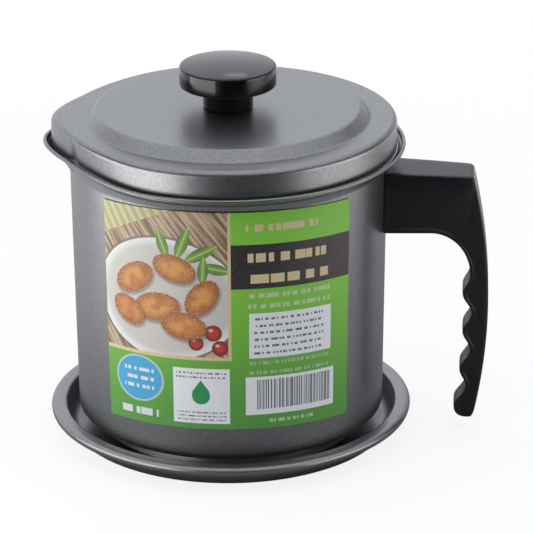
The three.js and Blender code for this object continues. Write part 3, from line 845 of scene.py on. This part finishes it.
def label_film(board, colours):
    """Printed film: a picture, a green ground, a dark band, boxes, a badge and plain dashes."""
    green, deep = tuple(colours.green), tuple(colours.deep_green)
    cream, paper = tuple(colours.cream), tuple(colours.paper)
    design = Print(board, lambda own: board.tint(board.step(own.v, 0, 70), deep, green))
    dark_band = board.tint(board.step(design.u, 20, 53), tuple(colours.band), ink(60, 46, 50))
    design.paint(design.box(1.8, 58.8, 54, 77), dark_band)
    label_picture(design)
    for place, shade in label_boxes(cream, paper):
        design.paint(design.box(*place), shade)
    drop = design.inside(design.reach(-10.4, 14, 3.6, 3.6))
    point = board.step(3.6 - abs(design.u + 10.4) - (design.v - 15.6) * 0.72, -0.15, 0.15)
    design.paint(board.most(drop, point * design.box(-16, 15.6, -5, 21)), tuple(colours.leaf))
    badge = design.reach(-37, 18.6, 11.4, 9.8)
    design.paint(design.inside(badge), ink(196, 216, 214))
    design.paint(design.inside(badge * 1.075), tuple(colours.blue))
    for place, *pattern, shade in label_rows(cream, paper):
        design.paint(design.dashes(*place, *pattern), shade)
    fibre = board.noise(board.place(), 2500, 2)
    board.surface(
        Base_Color=board.tint(board.step(fibre, 0.3, 0.7) * 0.06, design.colour, (1, 1, 1)),
        Roughness=0.34 + 0.1 * fibre,
        Normal=board.bump(board.noise(board.place(), 120, 2), 0.00005, 0.3),
    )


FINISHES = {
    "coated_steel": coated_steel,
    "knob_plastic": knob_plastic,
    "grip_plastic": grip_plastic,
    "stainless": stainless,
    "zinc_steel": zinc_steel,
    "brass": brass,
    "label_film": label_film,
}


def finish(slot):
    """The material of a slot, made once."""
    material = bpy.data.materials.get("oil_pot_" + slot)
    if material is None:
        material = bpy.data.materials.new("oil_pot_" + slot)
        FINISHES[slot](Board(material), settings().finishes)
    return material


# Places that several pieces share

def wall_top_radius():
    """Radius of the body's outer face where the flare starts."""
    sizes = settings().pot
    return corners("pot_body")[1].y - sizes.bead_radius - sizes.bead_reach


def wall_heights():
    """Heights of the pot's underside, of the start of its flare, of its ledge and of its bead."""
    sizes = settings().pot
    low, high = corners("pot_body")
    bead = high.z - sizes.bead_radius
    ledge = bead - sizes.bead_rise
    return low.z, ledge - sizes.ledge_rise, ledge, bead


def wall_radius(z):
    """Radius of the body's outer face at a height."""
    sizes = settings().pot
    foot, flare, _, _ = wall_heights()
    top = wall_top_radius()
    start = foot + sizes.corner
    return mix(top - sizes.taper, top, (z - start) / (flare - start))


class PartOperator:
    """Shared by the operators that make pieces."""
    bl_options = {"REGISTER", "UNDO"}

    def execute(self, context):
        self.make(settings())
        return {"FINISHED"}


# Rounding of the tray's raised ring and of its channel's upper edge, and flat beside its roll
TRAY_RING_ROUND = 0.002
TRAY_LIP_ROUND = 0.0008
TRAY_ROLL_FLAT = 0.001


class OILPOT_OT_tray(PartOperator, bpy.types.Operator):
    """Make the drip tray"""
    bl_idname = "oilpot.tray"
    bl_label = "Drip tray"

    def make(self, sizes):
        tray = sizes.tray
        sheet = sizes.pressing.sheet
        half = sheet / 2
        outside = corners("drip_tray")[1].y
        lip = outside - tray.band
        foot = lip - tray.slope
        body_foot = wall_top_radius() - sizes.pot.taper
        ring_outer = body_foot - tray.ring_inset
        ring_inner = ring_outer - tray.ring_crest - 2 * tray.ring_slope
        marks = [
            Mark(0, half),
            Mark(ring_inner, half, TRAY_RING_ROUND),
            Mark(ring_inner + tray.ring_slope, tray.ring_height, TRAY_RING_ROUND),
            Mark(ring_outer - tray.ring_slope, tray.ring_height, TRAY_RING_ROUND),
            Mark(ring_outer, half, TRAY_RING_ROUND),
            Mark(foot + half, half, tray.corner),
            Mark(lip + half, tray.depth, TRAY_LIP_ROUND),
            Mark(outside - tray.roll - TRAY_ROLL_FLAT, tray.roll_height + tray.roll - half),
        ]
        line = rounded(marks)
        curled(line, outside - tray.roll, tray.roll_height, tray.roll - half, radians(90), radians(-80))
        piece("drip_tray_pressing", spun(skinned(line, sheet)), "tray", "coated_steel", "drip_tray")


# Rounding where the pot's flare starts and where its bead starts
FLARE_FOOT_ROUND = 0.003
BEAD_FOOT_ROUND = 0.001
# Corners between them: parts of the flare's width and height, parts of the spout's reach, pinch
# and drop, and rounding
FLARE = (
    (0.18, 0.6, 0.45, 0.05, 0.85, 0.002),
    (0.56, 0.9, 0.75, 0.4, 0.55, 0.002),
    (1, 1, 0.95, 0.85, 0.25, 0.001),
)


class OILPOT_OT_pot(PartOperator, bpy.types.Operator):
    """Make the pot body with its spout and curled rim"""
    bl_idname = "oilpot.pot"
    bl_label = "Pot body"

    def make(self, sizes):
        pot = sizes.pot
        spout = sizes.pressing
        sheet = spout.sheet
        half = sheet / 2
        foot, flare, ledge, bead = wall_heights()
        wall = wall_top_radius() - half
        ledge_radius = wall_top_radius() + pot.ledge_reach
        bead_circle = corners("pot_body")[1].y - pot.curl_radius
        bead -= pot.curl_drop
        curl = pot.curl_radius - half
        drawn = (spout.spout_reach, spout.spout_pinch, -pot.curl_drop)

        def flared(out, up, tip, pinch, drop, bend):
            return Mark(
                mix(wall, ledge_radius, out),
                mix(flare, ledge, up),
                bend,
                spout.spout_reach * tip,
                spout.spout_pinch * pinch,
                spout.spout_drop * drop,
            )

        marks = [
            Mark(0, foot + half),
            Mark(wall - pot.taper, foot + half, pot.corner - half),
            Mark(wall, flare, FLARE_FOOT_ROUND, 0, 0, spout.spout_drop),
            *(flared(*row) for row in FLARE),
            Mark(bead_circle - curl, mix(ledge, bead, 0.5), BEAD_FOOT_ROUND, *drawn),
        ]
        line = rounded(marks)
        curled(line, bead_circle, bead, curl, radians(180), radians(-60), *drawn)
        piece("pot_body_pressing", spun(skinned(line, sheet)), "pot", "coated_steel", "pot_body")


class OILPOT_OT_lid(PartOperator, bpy.types.Operator):
    """Make the lid"""
    bl_idname = "oilpot.lid"
    bl_label = "Lid"

    def make(self, sizes):
        lid = sizes.lid
        spout = sizes.pressing
        sheet = spout.sheet
        half = sheet / 2
        low, high = corners("lid")
        radius = high.y
        edge = radius + lid.skirt_flare
        flat_inner = radius - lid.flat
        flat_top = high.z - lid.rise
        bore = sizes.fasteners.shank + 2 * spout.gap
        marks = [
            Mark(bore, high.z - half),
            Mark(flat_inner - lid.bevel, high.z - half, lid.bevel_round),
            Mark(flat_inner, flat_top - half, lid.bevel_round),
            Mark(radius - half, flat_top - half, lid.fold - half, spout.spout_reach, lid.pinch),
            Mark(edge - half, low.z, 0, spout.spout_reach, lid.skirt_pinch, 0, lid.crease),
        ]
        piece("lid_pressing", spun(pressed(marks, sheet)), "lid", "coated_steel", "lid")


class OILPOT_OT_knob(PartOperator, bpy.types.Operator):
    """Make the knob"""
    bl_idname = "oilpot.knob"
    bl_label = "Knob"

    def make(self, sizes):
        knob = sizes.knob
        low, high = corners("lid_knob")
        radius = high.x
        under = high.z - knob.head
        shoulder = high.z - knob.crown
        marks = [
            (0, low.z + knob.bore_depth),
            (knob.bore, low.z + knob.bore_depth, 0.0002),
            (knob.bore, low.z, 0.0002),
            (knob.neck, low.z, 0.0005),
            (knob.neck, under, 0.0011),
            (radius, under, knob.under_edge),
            (radius, shoulder, knob.edge),
        ]
        dome = (radius ** 2 + knob.crown ** 2) / (2 * knob.crown)
        start = radius - knob.edge
        for i in range(DOME_STEPS + 1):
            r = start * (1 - i / DOME_STEPS)
            marks.append((r, high.z - dome + sqrt(dome ** 2 - r ** 2), 0))
        shape = spun(solid_profile(marks), KNOB_STEPS)
        piece("lid_knob_moulding", shape, "lid", "knob_plastic", "lid_knob")


# Faces along the label and down it
LABEL_FACES = (120, 30)


class OILPOT_OT_label(PartOperator, bpy.types.Operator):
    """Make the label"""
    bl_idname = "oilpot.label"
    bl_label = "Label"

    def make(self, sizes):
        label = sizes.label
        low, high = corners("front_label")
        height = high.z - low.z - label.arch
        columns, rows = LABEL_FACES
        half_angle = label.width / 2 / wall_radius(high.z)
        off_wall = sizes.pressing.gap
        vertices = []
        places = []
        for layer in (off_wall, off_wall + label.sheet):
            for i in range(columns + 1):
                part = 2 * i / columns - 1
                turn = label.middle + half_angle * part
                for j in range(rows + 1):
                    z = high.z - height * j / rows - label.arch * part ** 2
                    r = wall_radius(z) + layer
                    vertices.append((r * cos(turn), r * sin(turn), z))
                    places.append((500 * label.width * part, 1000 * height * (1 - j / rows), 0))
        faces = []

        def spot(layer, i, j):
            return (layer * (columns + 1) + i) * (rows + 1) + j

        def rim(first, second):
            faces.append([spot(0, *first), spot(1, *first), spot(1, *second), spot(0, *second)])

        for i, j in product(range(columns), range(rows)):
            faces.append([spot(1, i, j), spot(1, i, j + 1), spot(1, i + 1, j + 1), spot(1, i + 1, j)])
            faces.append([spot(0, i, j), spot(0, i + 1, j), spot(0, i + 1, j + 1), spot(0, i, j + 1)])
        for i in range(columns):
            rim((i, 0), (i + 1, 0))
            rim((i + 1, rows), (i, rows))
        for j in range(rows):
            rim((0, j + 1), (0, j))
            rim((columns, j), (columns, j + 1))
        obj = piece("front_label_print", (vertices, faces), "pot", "label_film", "front_label")
        store = obj.data.attributes.new("print", "FLOAT_VECTOR", "POINT")
        store.data.foreach_set("vector", [part for place in places for part in place])


class OILPOT_OT_handle(PartOperator, bpy.types.Operator):
    """Make the handle with its pockets for the bracket"""
    bl_idname = "oilpot.handle"
    bl_label = "Handle"

    def make(self, sizes):
        loops = handle_loops(sizes)
        count = len(loops[0])
        vertices = [point for loop in loops for point in loop]
        faces = [list(range(count))[::-1], [count * (len(loops) - 1) + k for k in range(count)]]
        for i in range(len(loops) - 1):
            for k in range(count):
                a = count * i + k
                b = count * i + (k + 1) % count
                faces.append([a, b, b + count, a + count])
        obj = piece("handle_moulding", (vertices, faces), "pot", "grip_plastic", "handle")
        carve(obj, *handle_pockets(sizes))


class Station(NamedTuple):
    """A cross-section of the handle: inner and outer point in the XZ plane, and its form."""
    inner: tuple
    outer: tuple
    width: float
    scoop: float
    round: float
    crown: float
    near_wall: float = 0


class HandleCurves:
    """The curves that bound the handle in the XZ plane, and the heights that they hang on."""
    bumps = 4
    # Faces along the arm, along its top past the bend, round the corner and down to the grip
    arm_steps = 10
    top_steps = 8
    turn_steps = 8
    side_steps = 12
    # Faces down the grip and round its tip
    grip_steps = 72
    tip_steps = 14
    # How far the tip's inner and outer faces turn in, in parts of its depth, and how late
    tip_inward = (0.6, 1.2)
    tip_back = (0.16, 1.6)

    def __init__(self, sizes):
        h = sizes.handle
        low, high = corners("handle")
        self.h = h
        self.wall = wall_top_radius()
        self.gap = sizes.pressing.gap
        self.arm_top = high.z
        self.arm_bottom = high.z - h.arm_height
        self.outer = high.x
        self.middle = high.z - h.grip_drop
        self.bend_x = self.wall + h.arm_inner
        self.first_bump = high.z - h.first_bump
        self.last_bump = self.first_bump - (self.bumps - 1) * h.groove_pitch
        self.bend_z = self.first_bump + h.groove_pitch / 2
        self.end = low.z

    def outer_x(self, z):
        """The grip's outer face."""
        return self.outer - (z - self.middle) ** 2 / (2 * self.h.bow)

    def arm_top_at(self, x):
        """The arm's top."""
        return self.arm_top - self.h.arm_fall * (x - self.wall) / (self.outer - self.wall)

    def inner_x(self, z):
        """The grip's inner face with its grooves."""
        down = (self.arm_bottom - z) / (self.arm_bottom - self.end)
        wave = cos(2 * pi * (z - self.first_bump) / self.h.groove_pitch)
        depth = self.h.grip_depth - self.h.grip_thinning * down
        return self.outer_x(z) - depth - self.h.groove_depth * wave

    def arm(self):
        """Stations from the wall to the inner bend."""
        h = self.h
        for i in range(self.arm_steps):
            part = i / self.arm_steps
            x = mix(self.wall, self.bend_x, part)
            width = mix(h.root_width, h.corner_width, part)
            ends = (x, self.arm_bottom), (x, self.arm_top_at(x))
            yield Station(*ends, width, h.arm_scoop, h.arm_round, 0, 1 - part)

    def corner_outers(self):
        """Outer points from the arm's top round the corner and down the grip's back."""
        corner = self.h.arm_corner
        z = self.arm_top_at(self.outer_x(self.arm_top)) - corner
        x = self.outer_x(z) - corner
        outers = []
        for i in range(self.top_steps):
            along = mix(self.bend_x, x, i / self.top_steps)
            outers.append((along, self.arm_top_at(along)))
        for i in range(self.turn_steps + 1):
            turn = radians(90) * (1 - i / self.turn_steps)
            outers.append((x + corner * cos(turn), z + corner * sin(turn)))
        for i in range(1, self.side_steps + 1):
            down = mix(z, self.bend_z, i / self.side_steps)
            outers.append((self.outer_x(down), down))
        return outers

    def corner(self):
        """Stations round the bend from the arm to the grip."""
        h = self.h
        outers = self.corner_outers()
        inner_end = self.inner_x(self.bend_z)
        for i, outer in enumerate(outers):
            part = i / (len(outers) - 1)
            turn = radians(90) * (1 - part)
            inner = (
                mix(self.bend_x, inner_end, cos(turn)),
                mix(self.bend_z, self.arm_bottom, sin(turn)),
            )
            yield Station(
                inner, outer, mix(h.corner_width, h.grip_width, part),
                mix(h.arm_scoop, h.grip_scoop, part), mix(h.arm_round, h.grip_round, part),
                h.inner_crown * part,
            )

    def grip(self):
        """Stations down the grip to its last bump."""
        h = self.h
        for i in range(1, self.grip_steps + 1):
            part = i / self.grip_steps
            z = mix(self.bend_z, self.last_bump, part)
            width = mix(h.grip_width, h.end_width, part)
            ends = (self.inner_x(z), z), (self.outer_x(z), z)
            yield Station(*ends, width, h.grip_scoop, h.grip_round, h.inner_crown)

    def tip(self):
        """Stations round the grip's end."""
        h = self.h
        start = self.inner_x(self.last_bump)
        depth = self.outer_x(self.last_bump) - start
        for i in range(1, self.tip_steps + 1):
            turn = radians(90) * i / self.tip_steps
            z = mix(self.last_bump, self.end, sin(turn))
            closed = 1 - cos(turn)
            inward, back = (far * closed ** late for far, late in (self.tip_inward, self.tip_back))
            yield Station(
                (start + depth * inward, z), (self.outer_x(z) - depth * back, z),
                h.end_width - h.tip_round * closed, h.grip_scoop * cos(turn),
                h.grip_round * max(cos(turn), 0.2), h.inner_crown * cos(turn),
            )


def handle_loops(sizes):
    """Cross-sections of the handle from the wall along the arm, round the corner and down the grip."""
    at = HandleCurves(sizes)
    loops = []
    for station in (*at.arm(), *at.corner(), *at.grip(), *at.tip()):
        (x0, z0), (x1, z1) = station.inner, station.outer
        deep = hypot(x1 - x0, z1 - z0)
        loop = []
        for y, e in handle_section(station, deep, at.h):
            x = mix(x0, x1, e / deep)
            z = mix(z0, z1, e / deep)
            if station.near_wall > 0:
                face = sqrt((wall_radius(z) + at.gap) ** 2 - y ** 2)
                x = mix(at.bend_x, face, station.near_wall)
            loop.append((x, y, z))
        loops.append(loop)
    return loops


def handle_section(station, depth, h):
    """One cross-section: how far out in Y, and how far from the inner point to the outer one.

    Where the handle is thin its roundings and its lip take no more than a part of its depth.
    """
    half = station.width / 2
    inner = min(h.inner_round, depth * 0.15)
    outer = min(station.round, depth * 0.4)
    lip = min(h.lip, depth * 0.3)
    step = min(h.grip_scoop, depth * 0.1)
    scoop = station.scoop
    flat = half - inner
    points = []
    crown_steps = 6
    for i in range(crown_steps):
        y = flat * i / crown_steps
        points.append((y, -station.crown * (1 - (y / flat) ** 2)))
    for turn in (0, 30, 60, 90):
        reach = radians(turn)
        points.append((flat + inner * sin(reach), inner * (1 - cos(reach))))
    points += [(half, lip), (half - scoop * 0.5, lip + step * 0.6), (half - scoop, lip + step * 1.6)]
    for part in (0.3, 0.6):
        e = mix(lip + step * 1.6, depth - outer, part)
        points.append((mix(half - scoop, half, part), e))
    for turn in (0, 22, 45, 68, 90):
        reach = radians(turn)
        points.append((half - outer * (1 - cos(reach)), depth - outer * (1 - sin(reach))))
    outer_steps = 4
    for i in range(1, outer_steps):
        points.append(((half - outer) * (1 - i / outer_steps), depth))
    points.append((0, depth))
    mirrored = [(-y, e) for y, e in points[1:-1]][::-1]
    return points + mirrored


# How far a cutter reaches past the face that it opens
POCKET_OVERRUN = 0.004
BORE_OVERRUN = 0.002
RECESS_OVERRUN = 0.001


def handle_pockets(sizes):
    """Closed shapes of the hollows for the bracket, the weld nut and the screw."""
    f = sizes.fasteners
    gap = sizes.pressing.gap
    bracket_low, bracket_high = corners("handle_bracket")
    nut_high = corners("bracket_weld_nut")[1]
    screw_low, screw_high = corners("handle_screw")
    wall = wall_top_radius()
    root = wall - POCKET_OVERRUN
    screw_x = (screw_low.x + screw_high.x) / 2
    seat = screw_low.z + f.head_height + gap
    plate = box_shape(
        (root, bracket_low.y - gap, bracket_low.z - gap),
        (wall + f.plate + 2 * gap, bracket_high.y + gap, bracket_high.z + gap),
    )
    tongue_low = (bracket_low.z + bracket_high.z - f.tongue) / 2
    tongue = box_shape(
        (root, -f.tongue_width / 2 - gap, tongue_low - gap),
        (bracket_high.x + gap, f.tongue_width / 2 + gap, nut_high.z + gap),
    )
    below = corners("handle")[1].z - sizes.handle.arm_height - BORE_OVERRUN
    bore = [(0, below), (f.head + gap, below), (f.head + gap, seat), (f.shank + gap, seat),
            (f.shank + gap, screw_high.z + gap), (0, screw_high.z + gap)]
    return plate, tongue, spun([Mark(*m) for m in bore], BORE_STEPS, screw_x)


def screw_shape(sizes, low, high, x):
    """A pan-head screw that points up."""
    f = sizes.fasteners
    seat = low.z + f.head_height
    marks = [
        (0, low.z),
        (f.head * 0.66, low.z, 0.001),
        (f.head, low.z + 0.35 * f.head_height, 0.0008),
        (f.head, seat, 0.0002),
        (f.shank, seat, 0.0002),
        (f.shank, high.z - f.shank / 2, 0.0003),
        (f.shank / 2, high.z, 0.0002),
        (0, high.z),
    ]
    return spun(solid_profile(marks), SCREW_STEPS, x)


class OILPOT_OT_fasteners(PartOperator, bpy.types.Operator):
    """Make the screws, the washer and the insert, and finish the bracket and its nut"""
    bl_idname = "oilpot.fasteners"
    bl_label = "Fasteners"

    def make(self, sizes):
        f = sizes.fasteners
        for node, body in (("handle_screw", "pot"), ("knob_screw", "lid")):
            low, high = corners(node)
            x = (low.x + high.x) / 2
            obj = piece(node + "_turned", screw_shape(sizes, low, high, x), body, "zinc_steel", node)
            reach, narrow = f.recess / 2, f.recess_width / 2
            bottom, floor = low.z - RECESS_OVERRUN, low.z + f.recess_depth
            arms = (reach, narrow), (narrow, reach)
            carve(obj, *(box_shape((x - w, -d, bottom), (x + w, d, floor)) for w, d in arms))
        bore = f.shank + sizes.pressing.gap
        rings = (("knob_washer", "zinc_steel", WASHER_STEPS), ("knob_insert", "brass", INSERT_STEPS))
        for node, slot, steps in rings:
            low, high = corners(node)
            ring = [(bore, low.z), (high.x, low.z), (high.x, high.z), (bore, high.z)]
            piece(node + "_turned", spun(ring_outline(ring), steps), "lid", slot, node)
        for node in ("handle_bracket", "bracket_weld_nut"):
            bpy.data.objects[node].material_slots[0].material = finish("zinc_steel")


# Rounding of a ring's edges
RING_SOFT = 0.00015


def ring_outline(points):
    """Closed outline of a ring's cross-section with all its corners slightly rounded."""
    marks = [Mark(r, z, RING_SOFT) for r, z in points]
    closed = []
    for i, corner in enumerate(marks):
        closed += bend_at(marks[i - 1], corner, marks[(i + 1) % len(marks)])
    return closed


class OILPOT_OT_strainer(PartOperator, bpy.types.Operator):
    """Make the strainer cup, its woven net and the clamp ring"""
    bl_idname = "oilpot.strainer"
    bl_label = "Strainer"

    def make(self, sizes):
        s = sizes.strainer
        half = s.sheet / 2
        low, high = corners("strainer_frame")
        flange = high.z - half
        radius = wall_top_radius() - sizes.pressing.sheet - s.play
        foot = radius - s.taper
        marks = [
            Mark(s.opening, low.z + half),
            Mark(foot - half, low.z + half, s.corner - half),
            Mark(radius - half, high.z - s.sheet - s.bend, 0.001),
            Mark(radius + s.bend / 2, flange, 0.001),
            Mark(high.y, flange, 0, 0, s.flange_pinch),
        ]
        piece("strainer_cup", spun(pressed(marks, s.sheet)), "strainer", "stainless", "strainer_frame")
        low, high = corners("mesh_clamp_ring")
        gap = sizes.pressing.gap
        inner = s.opening + gap
        mesh_low, mesh_high = corners("strainer_mesh")
        ledge = mesh_low.z - gap
        collar = mesh_high.x + gap
        foot_ring = [(inner, low.z), (high.x, low.z), (high.x, high.z)]
        collar_ring = [(collar, high.z), (collar, ledge), (inner, ledge)]
        shape = spun(ring_outline(foot_ring + collar_ring), CLAMP_STEPS)
        piece("clamp_ring", shape, "strainer", "stainless", "mesh_clamp_ring")
        net = woven_net(s, mesh_high.x - NET_MARGIN, (mesh_low.z + mesh_high.z) / 2)
        piece("woven_net", net, "strainer", "stainless", "strainer_mesh")


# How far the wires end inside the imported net, faces round a wire and rings of them in a pitch
NET_MARGIN = 0.001
WIRE_SIDES = 4
RINGS_PER_PITCH = 3


def woven_net(s, reach, middle):
    """Wires of a plain weave inside a circle, as one mesh."""
    vertices = []
    faces = []
    sides = WIRE_SIDES
    wires = int(reach / s.pitch)
    rise = s.wire / 2
    for across in (False, True):
        for i in range(-wires, wires + 1):
            offset = i * s.pitch
            end = sqrt(max(reach ** 2 - offset ** 2, 0))
            steps = int(end / s.pitch * RINGS_PER_PITCH)
            if steps < 2:
                continue
            phase = i + (1 if across else 0)
            first = len(vertices)
            for k in range(-steps, steps + 1):
                along = k * s.pitch / RINGS_PER_PITCH
                height = middle + rise * cos(pi * (along / s.pitch + phase))
                for n in range(sides):
                    turn = 2 * pi * n / sides
                    u = offset + s.wire / 2 * cos(turn)
                    z = height + s.wire / 2 * sin(turn)
                    vertices.append((u, along, z) if across else (along, u, z))
            rings = 2 * steps + 1
            for k in range(rings - 1):
                for n in range(sides):
                    a = first + k * sides + n
                    b = first + k * sides + (n + 1) % sides
                    quad = [a, b, b + sides, a + sides]
                    faces.append(quad if across else quad[::-1])
            near_end = list(range(first, first + sides))
            far_end = [n + (rings - 1) * sides for n in near_end]
            faces.append(near_end[::-1] if across else near_end)
            faces.append(far_end if across else far_end[::-1])
    return vertices, faces


# Stage

# Points that the lamps face, on the pot's axis
LOW = (0, 0, 0.08)
HIGH = (0, 0, 0.15)


def softbox(name, strength, place, target, width, height, tone):
    """An area lamp that faces a target."""
    lamp = bpy.data.lights.new(name, "AREA")
    lamp.shape = "RECTANGLE"
    lamp.size = width
    lamp.size_y = height
    lamp.energy = strength
    lamp.color = tone
    obj = bpy.data.objects.new(name, lamp)
    obj.location = place
    obj.rotation_mode = "QUATERNION"
    obj.rotation_quaternion = (Vector(target) - Vector(place)).to_track_quat("-Z", "Y")
    obj.visible_camera = False
    bpy.context.scene.collection.objects.link(obj)


def lay_floor(studio):
    """A floor that is white with a faint shadow for the camera.

    To all other light it is pale at the left, grey at the right, darker between and nearly
    black far in front. What the pot mirrors far behind itself is white.
    """
    reach = studio.floor_reach
    mesh = bpy.data.meshes.new("floor")
    rim = [(-reach, -reach, 0), (reach, -reach, 0), (reach, reach, 0), (-reach, reach, 0)]
    mesh.from_pydata(rim, [], [(0, 1, 2, 3)])
    floor = bpy.data.objects.new("floor", mesh)
    bpy.context.scene.collection.objects.link(floor)
    material = bpy.data.materials.new("studio_floor")
    board = Board(material)
    place = board.place()
    x, y, _ = board.axes(place)
    radius = board.wire("ShaderNodeVectorMath", {"operation": "LENGTH"}, {0: place}, 1)
    # Metres over which one part of the floor gives way to the next
    away = board.step(radius, 0.22, 0.6)
    left = board.step(x, -0.02, -0.24)
    right = board.step(x, 0.04, 0.24)
    behind = board.step(y, -0.15, 0.1)
    in_front = board.step(y, -0.18, -0.38) * (1 - left)
    path = board.node("ShaderNodeLightPath", {}, {}).outputs
    seen = Wire(board, path["Is Camera Ray"])
    mirrored = board.most(Wire(board, path["Is Glossy Ray"]), Wire(board, path["Is Transmission Ray"]))

    def matt(level):
        shade = (*(level * part for part in studio.floor), 1)
        return board.node("ShaderNodeBsdfDiffuse", {}, {"Color": shade}).outputs[0]

    def glow(strength):
        sockets = {"Color": (1, 1, 1, 1), "Strength": strength}
        return board.node("ShaderNodeEmission", {}, sockets).outputs[0]

    def mixed(part, first, second):
        return board.node("ShaderNodeMixShader", {}, {0: part, 1: first, 2: second}).outputs[0]

    beside = mixed(right, mixed(left, matt(0.4), matt(1)), matt(0.66))
    unseen = mixed(in_front, beside, matt(0.05))
    near = board.node("ShaderNodeAddShader", {}, {0: matt(0.2), 1: glow(0.85)}).outputs[0]
    far = away * board.most(seen, mirrored * behind)
    surface = mixed(far, mixed(seen, unseen, near), glow(1.0))
    board.node("ShaderNodeOutputMaterial", {}, {"Surface": surface})
    floor.data.materials.append(material)


def light_world():
    """A room that is pale behind and overhead and dark elsewhere; plain white for the camera."""
    world = bpy.data.worlds.new("studio")
    bpy.context.scene.world = world
    board = Board(world)
    direction = board.node("ShaderNodeTexCoord", {}, {}).outputs["Generated"]
    right, back, up = board.axes(direction)
    turned = back + 0.28 * board.most(0 - right, 0.0)
    behind = board.step(turned, 0.42, 0.8) * (0.98 - 0.5 * board.step(right, -0.08, 0.4))
    above = board.step(up, 0.4, 0.62) * board.step(back, -0.75, -0.55)
    overhead = above * (0.97 - 0.17 * board.step(right, 0.4, 0.7))
    level = 0.12 + board.most(behind, overhead)
    seen = Wire(board, board.node("ShaderNodeLightPath", {}, {}).outputs["Is Camera Ray"])
    strength = seen + (1 - seen) * level
    tone = board.tint(seen, (0.95, 0.975, 1.03), (1, 1, 1))
    shader = board.node("ShaderNodeBackground", {}, {"Color": tone, "Strength": strength})
    board.node("ShaderNodeOutputWorld", {}, {"Surface": shader.outputs[0]})


class OILPOT_OT_stage(PartOperator, bpy.types.Operator):
    """Make the floor, the lamps and the camera"""
    bl_idname = "oilpot.stage"
    bl_label = "Studio"

    def make(self, sizes):
        studio = sizes.studio
        scene = bpy.context.scene
        lay_floor(studio)
        light_world()
        for name, strength, *lamp in (
            ("left_softbox", studio.key, (-0.268, -0.155, 0.072), LOW, 0.43, 0.14, (1, 0.99, 0.97)),
            ("right_softbox", studio.fill, (0.44, -0.13, 0.08), LOW, 0.42, 0.155, (1, 0.99, 0.98)),
            ("crown_lamp", studio.crown, (-0.034, 0.77, 0.62), HIGH, 0.06, 0.02, (1, 1, 1)),
        ):
            softbox(name, strength, *lamp)
        camera = bpy.data.cameras.new("camera")
        camera.lens = studio.lens
        camera.sensor_width = 36
        camera.clip_start = 0.05
        view = bpy.data.objects.new("camera", camera)
        back = Vector((
            sin(studio.azimuth) * cos(studio.elevation),
            -cos(studio.azimuth) * cos(studio.elevation),
            sin(studio.elevation),
        ))
        view.location = Vector(studio.aim) + back * studio.distance
        view.rotation_mode = "QUATERNION"
        view.rotation_quaternion = (-back).to_track_quat("-Z", "Y") @ Quaternion((0, 0, 1), studio.roll)
        scene.collection.objects.link(view)
        scene.camera = view
        scene.view_settings.view_transform = "Standard"


OPERATORS = (
    OILPOT_OT_stage,
    OILPOT_OT_tray,
    OILPOT_OT_pot,
    OILPOT_OT_label,
    OILPOT_OT_handle,
    OILPOT_OT_strainer,
    OILPOT_OT_lid,
    OILPOT_OT_knob,
    OILPOT_OT_fasteners,
)

GROUPS = (
    PressingSizes,
    PotSizes,
    TraySizes,
    LidSizes,
    StrainerSizes,
    KnobSizes,
    HandleSizes,
    FastenerSizes,
    LabelSizes,
    Finishes,
    StudioSettings,
    OilPotSettings,
)


class OILPOT_PT_panel(bpy.types.Panel):
    """Lists the oil pot's operators and sizes"""
    bl_idname = "OILPOT_PT_panel"
    bl_label = "Oil Pot"
    bl_space_type = "VIEW_3D"
    bl_region_type = "UI"
    bl_category = "Oil Pot"

    def draw(self, context):
        for operator in OPERATORS:
            self.layout.operator(operator.bl_idname)
        everything = context.scene.oil_pot
        for group in everything.bl_rna.properties:
            if group.type != "POINTER" or group.identifier == "rna_type":
                continue
            column = self.layout.column(heading=group.name)
            sizes = getattr(everything, group.identifier)
            for size in sizes.bl_rna.properties:
                if size.identifier not in ("rna_type", "name"):
                    column.prop(sizes, size.identifier)


def register():
    for item in (*GROUPS, *OPERATORS, OILPOT_PT_panel):
        bpy.utils.register_class(item)
    bpy.types.Scene.oil_pot = bpy.props.PointerProperty(type=OilPotSettings)


def unregister():
    del bpy.types.Scene.oil_pot
    for item in (OILPOT_PT_panel, *reversed(OPERATORS), *reversed(GROUPS)):
        bpy.utils.unregister_class(item)


def main():
    register()
    bpy.ops.oilpot.stage()
    bpy.ops.oilpot.tray()
    bpy.ops.oilpot.pot()
    bpy.ops.oilpot.label()
    bpy.ops.oilpot.handle()
    bpy.ops.oilpot.strainer()
    bpy.ops.oilpot.lid()
    bpy.ops.oilpot.knob()
    bpy.ops.oilpot.fasteners()


if __name__ == "__main__":
    main()
